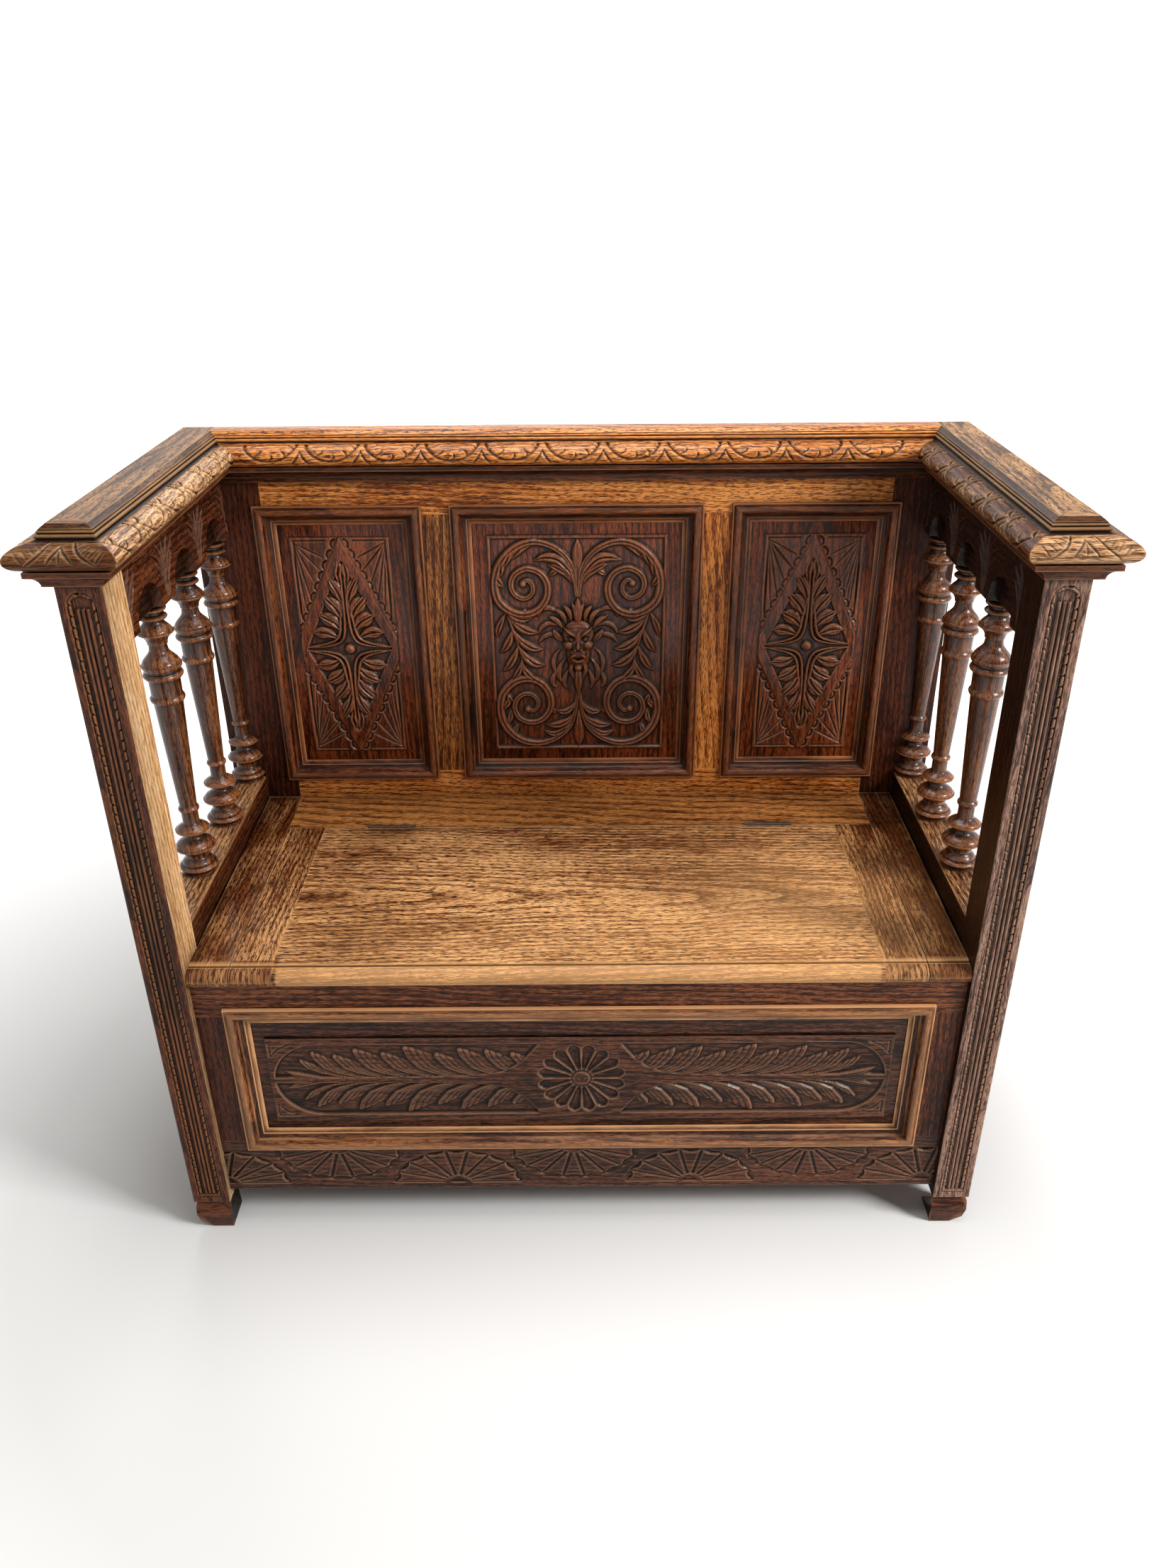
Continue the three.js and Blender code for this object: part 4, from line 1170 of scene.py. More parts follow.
back_band = lunettes([-422, -337, -255, -171, -88, -4, 80, 164, 247, 331, 416], -508, 508)
arm_band = lunettes([36 + 80.5 * k for k in range(6)], -30, 500)
front_band = Relief(465, 595, 0, TORUS_ARC)
ARM_MIDDLE = 530
for edge in (-1, 1):
    at = lambda x, z: (ARM_MIDDLE + edge * x, z)
    front_band.vein([at(13, 29), at(4, 42), at(0, 51)], 2.4, 1.9)
    front_band.vein([at(12, 60), at(20, 40), at(36, 26)], 2.4, 1.9)
    for tick in range(4):
        x = 17 + tick * 7
        front_band.vein([at(x, 44 - tick * 5), at(x + 9, 54 - tick * 4)], 1.7, 1.4)
front_band.vein([at(0, 30), at(0, 43)], 1.7, 1.3)
front_band.finish()
print("the back's torus is cut", round(-float(back_band.height.min()), 1), "mm deep")

# %% [markdown]
# The woods come from one log, but light, wax and hands have changed them. The seat and the rails
# that backs rub are golden and worn, the panels are red and dark, the posts are nearly black in
# their hollows, and the arms' tops have bleached towards grey. Some woods also carry painted
# light,
# sheen and shade for faces that the soft boxes light and leave dark. Each shade is three colours:
# deep in the grain, the body of the wood, and its lights.

# %% Shades of oak
SHADES = {
    "waxed oak seat": ("#6c391a", "#b27a4a", "#e2aa70"),
    "golden oak": ("#7e3c14", "#ca7832", "#e29650"),
    "brown oak": ("#542a14", "#925a2c", "#b8783e"),
    "dark red oak": ("#2c1007", "#421d0e", "#5c2d16"),
    "dark oak": ("#2c1208", "#4a2210", "#703c20"),
    # near black, for painted shade
    "old black oak": ("#0c0503", "#1e0d07", "#3c2214"),
    "panel oak": ("#381509", "#5e2a12", "#874220"),
    "chest oak": ("#220f08", "#442416", "#6a3e28"),
    "grey sheen oak": ("#3e261e", "#7a5646", "#a07c68"),
    "front rail oak": ("#32160a", "#5e2f18", "#8a5230"),
    "bleached oak": ("#4e3017", "#835a34", "#b38656"),
    "arm torus oak": ("#58341c", "#a6764e", "#d6a676"),
    "ledge oak": ("#4a2a14", "#8e5f3c", "#c2905f"),
    "moulding oak": ("#220b04", "#4c1f0e", "#804220"),
    "front moulding oak": ("#361708", "#693720", "#9e6238"),
    "turned oak": ("#3e1c0d", "#6e3a1e", "#9a6036"),
}


def wood(name, shades, **settings):
    return oak(name, *SHADES[shades], **settings)


print("shades of oak:", len(SHADES))

# %% Woods of the seat, the panels and the posts
# worn, waxed seat: the lightest wood with the busiest grain, so the eye rests on it first
seat_oak = wood("waxed oak seat", "waxed oak seat", gloss=0.42, dirt=1.0, flecks=0.95)
# red panels: a dark ground with a low gleam, and the tops of the leaves lightened, as wear and
# painted highlight
red_oak = wood("red brown oak panels", "panel oak", gloss=0.24, wear=0.42, polish=0.2,
               edge_wear=0.0, worn_tone="#b47a54")
# chest front: browner than the back, with pale tops (wear and painted highlight) beside nearly
# black cuts (wax and painted shade)
front_oak = wood("dark oak chest front", "chest oak", gloss=0.22, wear=0.6, polish=0.12,
                 edge_wear=0.0, worn_tone="#a87a5c")
# left front post: nearly black, with lightened crests, as wear and painted highlight, so the row
# of dashes shows as small lights
post_oak = wood("dark oak posts", "dark oak", gloss=0.30, polish=0.1, worn_tone="#a57048")
# right front post: the same wood with a painted grey sheen, the reflection of the light from the
# right
right_post_sheen_oak = wood("dark oak post with painted grey sheen", "grey sheen oak", gloss=0.30, polish=0.15,
                      worn_tone="#b8886a")
# left post's inner face: golden, with painted light as if the soft box on the right lit it
# strongly
painted_light_oak = oak("golden oak inner faces in painted light", "#c08a54", "#e8b47c", "#f8d2a2", gloss=0.35, flecks=0.4)
# near black: painted shade on the right post's and the right ledge's inner faces and on the right
# arcade
painted_shade_oak = wood("oak inner faces in painted shade", "old black oak", gloss=0.30, wear=0.3, polish=0.1,
                 edge_wear=0.4, worn_tone="#7a5240")
print("the seat's body colour is", SHADES["waxed oak seat"][1])

# %% Woods of the capping, the spindles and the mouldings
# back torus: the warmest wood, rubbed by backs, with its lunettes darkened, by wax and painted
# shade
torus_oak = wood("golden oak torus", "golden oak", gloss=0.30, wear=0.35, flecks=0.9, polish=0.2)
# arm tops: bleached, dry and without gloss, so they look dusty from above
arm_oak = wood("bleached oak arm tops", "bleached oak", gloss=0.42, flecks=0.95)
# arm torus: worn brown, between the pale tops and the dark posts
arm_torus_oak = wood("brown oak arm torus", "arm torus oak", gloss=0.34, polish=0.05,
                     worn_tone="#d2a878")
# spindles: the glossiest wood, so that every bead carries a sharp highlight
turned_oak = wood("polished oak spindles", "turned oak", gloss=0.18, dirt=1.2, polish=0.36,
                  edge_wear=1.0)
# arcades: dark and even, so the arches stand as a silhouette; the rims of the cuts are lightened,
# as painted highlight
arcade_oak = wood("polished oak arcades", "dark oak", gloss=0.24, wear=0.4, polish=0.15,
                  edge_wear=0.0, worn_tone="#8e654c")
# mouldings of the back: nearly black in the quirks, by wax and painted shade, with a light line
# along the torus, by wear and painted highlight
mould_oak = wood("brown oak mouldings", "moulding oak", gloss=0.24, wear=0.5, polish=0.15,
                 worn_tone="#b8794e")
# moulding of the chest: redder and much more lightened, by wear and painted highlight, which draws
# its frame in light lines
front_mould_oak = wood("brown oak front moulding", "front moulding oak", gloss=0.26, wear=0.8,
                       polish=0.12, worn_tone="#dca270")
# ledges: mid brown, with a soft gleam along the round nosing
ledge_oak = wood("brown oak ledges", "ledge oak", gloss=0.34, polish=0.2)
print("the spindles' body colour is", SHADES["turned oak"][1])

# %% [markdown]
# Frame nodes whose shape is already right keep their mesh and only get a finish, with the grain
# along the board.

# %% Finishes of the carried boards
finishes = {
    "foot_front_left foot_front_right foot_rear_left foot_rear_right": ("dark oak", "z"),
    "back_muntin_left": ("brown oak", "z"),
    "back_muntin_right": ("golden oak", "z"),
    # the rear posts are darker than the boards beside them: painted shade where the arms' shade
    # falls
    "rear_post_left rear_post_right": ("dark red oak", "z"),
    "back_top_rail back_bottom_rail": ("golden oak", "x"),
    "seat_back_strip": ("brown oak", "x"),
    "side_bottom_rail_left side_bottom_rail_right": ("dark oak", "y"),
    # the arm rails, seen through the arches, are near black: painted shade
    "arm_rail_left arm_rail_right": ("old black oak", "y"),
    "side_panel_left side_panel_right": ("dark oak", "z"),
    "front_stile_left": ("dark red oak", "z"),
    "front_stile_right": ("dark oak", "z"),
    "front_top_rail": ("front rail oak", "x"),
    "chest_floor chest_back seat_bearer": ("dark oak", "x"),
}
# plain boards: a quiet grain along each board, which leaves the eye to the carving
carried = {
    (shades, axis): wood(f"{shades} along {axis}", shades, axis=axis)
    for shades, axis in dict.fromkeys(finishes.values())
}


def finish_node(name, material):
    carried_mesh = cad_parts[name].data
    carried_mesh.materials.clear()
    carried_mesh.materials.append(material)


for names, finish in finishes.items():
    for name in names.split():
        finish_node(name, carried[finish])
for hand in HANDS:
    for leaf in ("fixed", "moving"):
        finish_node(f"hinge_{leaf}_leaf_{hand}", old_iron)
print("finishes on carried boards:", len(carried))

# %% [markdown]
# Now the carved boards. A panel's ground is a slab with eased arrises, and its raised field is a
# carved face that stands on it.

# %% Panels


def slab(x, y, z, axis, edge=0.8):
    """A board with eased arrises, from its three spans in millimetres."""
    bm = bmesh.new()
    bmesh.ops.create_cube(bm, size=1)
    low, high = (np.array(settle_point(*(span[i] for span in (x, y, z)))) for i in (0, 1))
    bmesh.ops.scale(bm, vec=high - low, verts=bm.verts)
    bmesh.ops.translate(bm, vec=(low + high) / 2, verts=bm.verts)
    bmesh.ops.bevel(
        bm, geom=bm.edges, offset=edge * MM, segments=2, profile=0.5, affect="EDGES", material=-1
    )
    mesh = as_mesh(bm, "slab")
    mark(mesh, grain_for(coordinates(mesh), axis))
    return mesh


def carved(relief, face, middle, axis, cell, depth):
    """The field of a panel: x measured from its middle, and y forward from the given face."""
    width = relief.x[0, -1] - relief.x[0, 0]
    height = relief.z[-1, 0] - relief.z[0, 0]
    behind = FRONT + (face + depth) * MM
    return carved_face(
        relief,
        lambda u, v, rise: settle_point(u + middle, face - rise, v),
        round(width / cell), round(height / cell), axis,
        lambda place: (place.x, behind, place.z),
    )


GROUND_FACE, FIELD_FACE = 481.0, 477.0  # the sunk ground and the raised field of the back panels
PANEL_THICK, FIELD_THICK, APRON_THICK = 10, 6, 24
for place, field, middle, half, cell in (
    ("left", side_field, -347, 114.7, 0.95),
    ("centre", centre, 0, 177, 1.05),
    ("right", side_field, 347, 114.7, 0.95),
):
    ground = slab(
        (middle - half, middle + half), (GROUND_FACE, GROUND_FACE + PANEL_THICK), (439, 868.5), "z"
    )
    face = carved(field, FIELD_FACE, middle, "z", cell, FIELD_THICK)
    piece(f"carved_panel_{place}", [ground, face], red_oak, f"back_panel_{place}")
FRONT_GROUND, FRONT_FIELD, APRON_FACE = 20.5, 16.5, 11.5  # mm behind the posts' faces
ground = slab((-458, 458), (FRONT_GROUND, FRONT_GROUND + PANEL_THICK), (99, 333), "x")
face = carved(front_field, FRONT_FIELD, 0, "x", 1.25, FIELD_THICK)
piece("carved_chest_panel", [ground, face], front_oak, "front_panel")
face = carved(apron, APRON_FACE, 0, "x", 1.25, APRON_THICK)
piece("carved_apron", [face], front_oak, "front_apron_rail")

# %% [markdown]
# A front post is one carved face drawn back over the post's whole depth. Its inner face has a
# finish of its own: painted light on the left one, and painted shade on the right one.

# %% Front posts
POST_DEPTH = 60
POST_GRID = (84, 560)  # columns and rows
POST_INNER = 501.3  # faces nearer to the middle than this belong to the inner side
# outside and inner face: the right post's outside has a painted sheen
post_finishes = {"left": (post_oak, painted_light_oak), "right": (right_post_sheen_oak, painted_shade_oak)}
for hand, side in HANDS.items():
    face = carved_face(
        post, lambda u, v, rise: settle_point(side * u, -rise, v), *POST_GRID, "z",
        lambda place: (place.x, FRONT + POST_DEPTH * MM, place.z),
    )
    outside, inside = post_finishes[hand]
    is_inner = lambda middle: side * middle.x < POST_INNER
    piece(
        f"reeded_post_{hand}", [face], outside, f"front_post_{hand}",
        other=(inside, is_inner),
    )

# %% [markdown]
# The bolection mouldings stand proud of the frame and step down to the panels. Four lengths are
# mitred round each panel.

# %% Mouldings round the panels
bolection = [
    (15, 0), (0, 0), (0, 3.8), (0.6, 4.9), (1.6, 4.9), (2.7, 4.5), (3.2, 3.6), (3.3, 5.6),
    *arc(9, 3.5, 5.6, 5.5, 160, 25, 9), (15.6, 3.0), (16.8, -0.2), (18.3, -2.7), (21, -4.3),
    (22.6, -4.2), (23.1, -3.8), (24.0, -4.1), (24.6, -4.8), (25.2, -6.1), (27, -6.9),
    (29, -7.2), (30, -7.6), (30, -8.7), (15, -8.7),
]


def framed(name, x, z, face, material, node):
    """Four mitred lengths round an opening, whose spans in x and z are given."""
    runs = []
    profile = bolection + bolection[:1]
    inset = np.array([point[0] for point in profile])
    width, height = x[1] - x[0], z[1] - z[0]
    for origin, along, into, length in (
        ((x[0], face, z[0]), ACROSS, UP, width),
        ((x[1], face, z[0]), UP, (-1, 0, 0), height),
        ((x[1], face, z[1]), (-1, 0, 0), (0, 0, -1), width),
        ((x[0], face, z[1]), (0, 0, -1), ACROSS, height),
    ):
        ends = (inset, length - inset)
        runs.append(run_of_moulding(profile, ends, origin, along, into, FORWARD))
    piece(name, runs, material, node, fill=False)


for place, x in (("left", (-465, -223.5)), ("centre", (-183, 183)), ("right", (223.5, 465))):
    framed(f"moulding_{place}", x, (433, 874.5), 472, mould_oak, f"back_moulding_{place}")
framed("moulding_front", (-464, 464), (93, 339), 11.5, front_mould_oak, "front_moulding")

# %% [markdown]
# The capping follows one profile on all three sides: a flat top, a chamfer, two beads and the
# big carved torus. Each arm is made of an outer, a front and an inner length that meet at
# mitres, and the back's length is coped against the arms.

# %% The capping's section
cap_edge = [
    (0, 46), (0.9, 45.1), (6.6, 40.8), (6.0, 39.9), (7.4, 39.6),
    *arc(6.4, 38.2, 2.0, 1.7, 60, -60, 4), (7.0, 36.5), (7.6, 36.2),
    *arc(8.4, 34.0, 2.4, 2.2, 75, -75, 5), (9.2, 31.2), (10.8, 30.2), (13.6, 29.3),
]
torus = arc(14, 14.5, 24, 14.5, 90, -90, 44)
start_of_torus = sum(math.dist(a, b) for a, b in zip(cap_edge, cap_edge[1:]))
start_of_torus += math.dist(cap_edge[-1], torus[0])
HALF_TOP = 22  # half the flat between an arm's two edges
section = [(-HALF_TOP, 46)] + cap_edge + torus + [(-HALF_TOP, 0)]
section_start = HALF_TOP + start_of_torus
print("the torus starts", round(start_of_torus, 1), "mm round the section")

# %% The carving turned over


def flipped(band):
    """The maps count round the torus from below, but the section runs from above."""
    turned_band = Relief(band.left, band.x[0, -1], 0, TORUS_ARC, cell=band.cell)
    for name in ("height", "low_parts", "high_parts"):
        grid = band.at(getattr(band, name), turned_band.x, TORUS_ARC - turned_band.z)
        setattr(turned_band, name, grid)
    return turned_band


back_band, arm_band, front_band = (flipped(band) for band in (back_band, arm_band, front_band))
print("carving round the back's torus has", back_band.x.size, "points")

# %% [markdown]
# An arm's three lengths are laid by one function, which serves the cap and the bed mould under
# it. The wood is also darkened by its place in the section: the chamfer and the beads are darker,
# and the flat top and the torus have a darkening of their own, which on the right arm's torus is
# painted shade.

# %% Arm caps
CAP_FOOT, BED_FOOT = 934, 916  # the undersides of the cap and of its bed mould
ARM_INNER, ARM_OUTER, ARM_FRONT, ARM_REAR = 508, 552, 13, 498  # where the sections start
TOP_END, BEADS_END = 0.5, 13.8  # where the flat top ends, and the beads
# darkening of the flat top, the torus along the sides, and the torus at the front; on the right
# arm's torus it is painted shade
ARM_STAINS_AND_SHADE = {"left": (0.35, 0.0, 0.85), "right": (0.0, 1.0, 0.0)}  # top, torus, its front


def arm_stains_and_shade(top, torus):
    """Marks by the place along a length and the stand from the wall."""

    def stains_and_shade(run, stand):
        stain_and_shade = np.where(stand < TOP_END, top, np.where(stand < BEADS_END, 1.0, torus))
        darker_beads = 0.35 * (stand > TOP_END) * (stand < BEADS_END)
        return np.stack([darker_beads, 0 * run, stain_and_shade], axis=-1)

    return stains_and_shade


def round_an_arm(side, foot, side_section, front_section, side_look, front_look):
    """The inner, the outer and the front length, mitred at the front corners."""
    stand, front_stand = (
        np.array([point[0] for point in section]) for section in (side_section, front_section)
    )
    runs = [
        run_of_moulding(
            side_section, (ARM_FRONT - front_stand, ARM_REAR), (side * edge, 0, foot), BACK,
            (side * away, 0, 0), UP, **side_look,
        )
        for edge, away in ((ARM_INNER, -1), (ARM_OUTER, 1))
    ]
    front = run_of_moulding(
        front_section, (ARM_INNER - stand, ARM_OUTER + stand), (0, ARM_FRONT, foot), (side, 0, 0),
        FORWARD, UP, **front_look,
    )
    return [*runs, front]


TORUS_TOP = 29.5  # above the cap's underside
is_torus = lambda middle: middle.z < FOOT / MM + CAP_FOOT + TORUS_TOP
for hand, side in HANDS.items():
    top, torus_in, torus_front = ARM_STAINS_AND_SHADE[hand]
    side_look, front_look = (
        {"step": 1.4, "relief": band, "arc_start": section_start, "stains_and_shade": arm_stains_and_shade(top, stain_and_shade)}
        for band, stain_and_shade in ((arm_band, torus_in), (front_band, torus_front))
    )
    runs = round_an_arm(side, CAP_FOOT, section, section, side_look, front_look)
    piece(
        f"arm_cap_{hand}", runs, arm_oak, f"cap_{hand}",
        other=(arm_torus_oak, is_torus),
    )

# %% [markdown]
# The back's length stops at both arms. A joiner copes it: its end is cut to the shape of the
# other moulding's section, level by level, with a hair's gap.

# %% Back cap
COPE_GAP = 0.3
BACK_FACE, BACK_DEPTH = 473, 25  # where the back's section starts, and how deep it goes from there


def coped(name, edge, foot, step, material, node, relief=None, start=0, more=()):
    """A length between the arms, from its face, its back, its top and its underside."""
    stand, rise = (np.array(values, float) for values in zip(*edge))
    reach = ARM_INNER - stand - COPE_GAP
    lie = ((0, BACK_FACE, foot), ACROSS, FORWARD, UP, step)
    face = run_of_moulding(edge, (-reach, reach), *lie, relief, start)
    back_edge = [(-BACK_DEPTH, z) for z in rise]
    behind = run_of_moulding(back_edge, (-reach, reach), *lie)
    lids = [
        run_of_moulding([edge[row], back_edge[row]], (-reach[row], reach[row]), *lie)
        for row in (0, -1)
    ]
    piece(name, [face, behind, *lids, *more], material, node)


coped("back_cap", cap_edge + torus, CAP_FOOT, 1.5, torus_oak, "cap_back", back_band,
      start_of_torus)

# %% [markdown]
# Under the capping runs a bed mould, a fillet over a cove. At the arms' fronts it stands further
# out than at their sides, and under the back's length a thin frieze board carries it.

# %% Bed moulds
BED_EXTRA, BED_FADED = 7.5, 29.5  # the front's extra reach, and the stand where it has faded
bed_cove = [
    (10.5 + 12 * (1 - math.cos(a)), 11 * math.sin(a)) for a in np.linspace(0, math.pi / 2, 9)
]
bed_edge = [(25, 18), (25, 11.8)] + bed_cove[::-1]  # the fillet, then the cove
frieze = slab((-497.2, 497.2), (462.5, 471.9), (910, 915.9), "x")
coped("back_bed_mould", bed_edge, BED_FOOT, 12, post_oak, "bed_mould_back", more=[frieze])
bed_section = [(-HALF_TOP, 18)] + bed_edge + [(-HALF_TOP, 0)]
stand = np.array([point[0] for point in bed_section])
further = np.clip(BED_EXTRA * (BED_FADED - stand) / 19, 0, BED_EXTRA) * (stand > 0)
bed_front = [(s + f, z) for (s, z), f in zip(bed_section, further)]
for hand, side in HANDS.items():
    runs = round_an_arm(side, BED_FOOT, bed_section, bed_front, {}, {})
    piece(f"arm_bed_mould_{hand}", runs, post_oak, f"bed_mould_{hand}")

# %% [markdown]
# The spindles come from a lathe. The turner's table goes from the foot up, and each row says how
# the tool moves to the next height: straight, round a bead that comes back to its fillet, in the
# slow wave of a vase or a neck, or in a flare that ends in a sharp rim.

# %% The turner's outline
TURNING = [  # height, radius, and how the tool gets there where it isn't straight
    (0, 24), (3.6, 24), (4.0, 22.6), (12.6, 26.6, "bead"), (13.0, 21.4), (14.4, 21.4),
    (24.0, 15.0, "wave"), (24.4, 16.4), (25.8, 16.4), (38.0, 27.3, "flare"), (39.8, 27.3),
    (40.3, 25.4), (41.4, 25.4), (55.5, 12.0, "wave"), (57.0, 12.0), (57.3, 13.4),
    (64.5, 22.8, "flare"), (66.2, 22.8), (66.6, 21.2), (76.5, 11.0, "wave"), (92.8, 11.0),
    (93.1, 11.8), (101.4, 13.9, "bead"), (102.0, 11.4), (256.0, 18.8), (256.4, 19.8),
    (266.6, 22.4, "bead"), (267.2, 19.8), (288.4, 20.2), (288.8, 21.6), (299.6, 25.6, "bead"),
    (300.0, 22.2), (302.6, 22.2), (303.0, 24.2), (305.8, 25.6), (308.4, 25.6), (308.8, 24.2),
    (329.0, 12.0, "wave"), (335.5, 11.1), (335.8, 12.8), (350.6, 23.0, "flare"), (352.4, 23.0),
    (352.8, 21.4), (367.0, 12.5, "wave"), (367.4, 13.6), (375.6, 18.3, "bead"), (376.8, 13.8),
    (378.0, 13.8), (386.2, 18.3, "bead"), (387.2, 14.4), (393, 15),
]
STEPS = {"line": 1, "bead": 7, "wave": 9, "flare": 7}
SPINDLE_TOP = 393
outline = [(0, 0)]
start, base = 0, 0
for height, radius, *form in TURNING:
    form = form[0] if form else "line"
    steps = STEPS[form]
    for way in np.arange(1, steps + 1) / steps:
        swell = {
            "line": way, "bead": math.sin(math.pi * way), "flare": way**2.2,
            "wave": (1 - math.cos(math.pi * way)) / 2,
        }[form]
        outline.append((start + (height - start) * way, base + (radius - base) * swell))
    start = height
    base = base if form == "bead" else radius
outline = np.array(outline + [(SPINDLE_TOP, 0)])
heights = np.arange(0, SPINDLE_TOP, 0.5)
radii = np.interp(heights, outline[1:-1, 0], outline[1:-1, 1])
around = np.convolve(np.pad(radii, 10, mode="edge"), np.ones(21) / 21, mode="valid")
print("the outline has", len(outline), "points")

# %% [markdown]
# The outline is spun round the axis. What lies below the surface around it is marked as a hollow
# and darkened, for black wax and painted shade, and what stands out is lightened, for wear and
# painted highlight. The rear spindle is a true half, seated on the post.

# %% Turned spindles
SPINDLE_FOOT, SPINDLE_ROW = 438, 529.5  # the ledge's top, and the row's distance from the middle
POST_BACK, BACK_FRAME = 60, 472  # the front posts' rear faces, and the back frame's front
SPINDLE_PITCH = 137.33


def turned_form(x, y, sweep=2 * math.pi):
    """The outline spun once round at x, y, or half round, with the flat side at the back."""
    foot = settle_point(x, y, SPINDLE_FOOT)
    bm = bmesh.new()
    verts = [bm.verts.new((r * MM, 0, z * MM)) for z, r in outline]
    for a, b in zip(verts, verts[1:]):
        bm.edges.new((a, b))
    full = sweep > math.pi
    bmesh.ops.spin(
        bm, geom=bm.verts[:] + bm.edges[:], cent=(0, 0, 0), axis=UP, dvec=(0, 0, 0),
        angle=sweep, steps=48 if full else 24, use_merge=full, use_duplicate=False,
    )
    if not full:
        half_turn = Matrix.Rotation(math.pi, 3, "Z")
        bmesh.ops.rotate(bm, cent=(0, 0, 0), matrix=half_turn, verts=bm.verts)
    bmesh.ops.remove_doubles(bm, verts=bm.verts, dist=MERGE)
    bmesh.ops.translate(bm, vec=Vector(foot), verts=bm.verts)
    mesh = as_mesh(bm, "turned")
    places = coordinates(mesh)
    radius = np.hypot(*(places - foot)[:, :2].T) / MM
    below = np.interp((places[:, 2] - foot[2]) / MM, heights, around) - radius
    hollows, proud = unit(below / 2.2), unit(-below / 3.0)
    mark(mesh, grain_for(places, "z"), np.stack([hollows, proud, 0 * below], axis=-1))
    return mesh


for hand, side in HANDS.items():
    row = side * SPINDLE_ROW
    for index in (1, 2):
        whole = turned_form(row, POST_BACK + SPINDLE_PITCH * index)
        piece(f"turned_spindle_{hand}_{index}", [whole], turned_oak, f"spindle_{hand}_{index}")
    half = turned_form(row, BACK_FRAME, math.pi)
    piece(f"turned_half_{hand}", [half], turned_oak, f"half_spindle_{hand}")

# %% [markdown]
# Under each arm a board is sawn into three arches, with a pendant over each spindle. The grid
# is bent so that its lower edge follows the arches.

# %% The cuts on the arcades
ARCADE_FOOT, ARCADE_TOP = 831, 916
ARCH_PITCH, ARCH_HALF, ARCH_RADIUS = 137.3333, 68.6667, 43.1
arcade_face = Relief(POST_BACK, BACK_FRAME, ARCADE_FOOT, ARCADE_TOP, cell=0.8)
for k in range(4):
    x = POST_BACK + SPINDLE_PITCH * k
    for side in (-1, 1):
        for cut in (
            ((4, 838), (10, 862), (30, 884)),
            ((3, 852), (12, 880), (36, 898)),
            ((3, 870), (10, 892), (22, 906)),
        ):
            arcade_face.vein([(x + side * aside, z) for aside, z in cut], 3.4, 3.6)
    arcade_face.vein([(x, 836), (x, 905)], 3.2, 3.4)
arcade_face.finish()
print("the arcades are cut", round(-float(arcade_face.height.min()), 1), "mm deep")

# %% Arcades
ARCADE_INNER, ARCADE_OUTER = 503, 516  # its two faces' distances from the middle


def arcade_sheet(side):
    def lay(t, s):
        y = POST_BACK + t * (BACK_FRAME - POST_BACK)
        offset = (y - POST_BACK) % ARCH_PITCH - ARCH_HALF
        under = ARCADE_FOOT + np.sqrt(np.clip(ARCH_RADIUS**2 - offset**2, 0, None))
        z = under + s * (ARCADE_TOP - under)
        rise = arcade_face.at(arcade_face.height, y, z)
        places = settle_point(side * (ARCADE_INNER - rise), y, z)
        return places, grain_for(places, "y"), arcade_face.marks_at(y, z)

    outer = side * ARCADE_OUTER * MM
    return drawn_back(sheet(320, 64, lay), "y", lambda place: (outer, place.y, place.z))


# the right arcade, facing away from the soft box on the right, is in painted shade
arcade_finishes = {"left": arcade_oak, "right": painted_shade_oak}
for hand, side in HANDS.items():
    piece(f"carved_arcade_{hand}", [arcade_sheet(side)], arcade_finishes[hand],
          f"arcade_{hand}")

# %% [markdown]
# The ledges under the spindles have a round nosing outside and a rebate inside that carries the
# seat.

# %% Ledges
LEDGE_INNER = 503.4
# the right ledge's inner face is in painted shade
ledge_finishes = {"left": post_oak, "right": painted_shade_oak}  # of the inner faces
ledge_section = [
    (483, 355), (483, 380), (503, 380), (503, 437.2), (503.8, 438), (547, 438),
    *arc(547, 428, 10, 10, 80, -80, 10), (540, 418), (540, 355), (526.3, 355), (526.3, 363.3),
    (513.7, 363.3), (513.7, 355), (483, 355),
]
for hand, side in HANDS.items():
    run = run_of_moulding(
        ledge_section, (POST_BACK, BACK_FRAME), (0, 0, 0), BACK, (side, 0, 0), UP, step=8
    )
    is_inner = lambda middle: side * middle.x < LEDGE_INNER
    piece(
        f"ledge_{hand}", [run], ledge_oak, f"ledge_rail_{hand}",
        other=(ledge_finishes[hand], is_inner),
    )

# %% [markdown]
# The seat's boards share one thumb moulding along the front. Its wear is drawn as soft spots and
# bands: grime round the hinges and in the quirk, bright wood where people sit, and darker wood
# towards the back and at the ends. The right end and the right cleat are darker still, which is
# painted shade of the right arm.

# %% The seat's section and its marks
SEAT = 401
QUIRK = 21.5  # how far back the groove behind the nosing lies
LID_HALF, CLEAT_END = 392.3, 446.8  # where the lid's board stops, and its cleats
HINGE_X = 289
nosing = [
    (4.6, -21), (3.4, -17), *arc(19.4, -13, 17.4, 11.2, 185, 92, 12), (19.6, -2.4), (20.2, -3.6),
    (21.2, -3.6), (21.7, -0.9), (22.6, 0.0),
]


def seat_profile(rear, parts):
    """The nosing, the flat top in a number of parts, the rear edge and the underside."""
    top = [(y, 0.0) for y in np.linspace(nosing[-1][0], rear - 0.8, parts)[1:]]
    rear_edge = [(rear - 0.1, -0.3), (rear, -0.9), (rear, -18.3), (rear, -21)]
    return nosing + top + rear_edge + [nosing[0]]


def spot(x, y, place, size):
    """One in the middle of a round spot, and less away from it."""
    return np.exp(-(((x - place[0]) / size[0]) ** 2) - ((y - place[1]) / size[1]) ** 2)


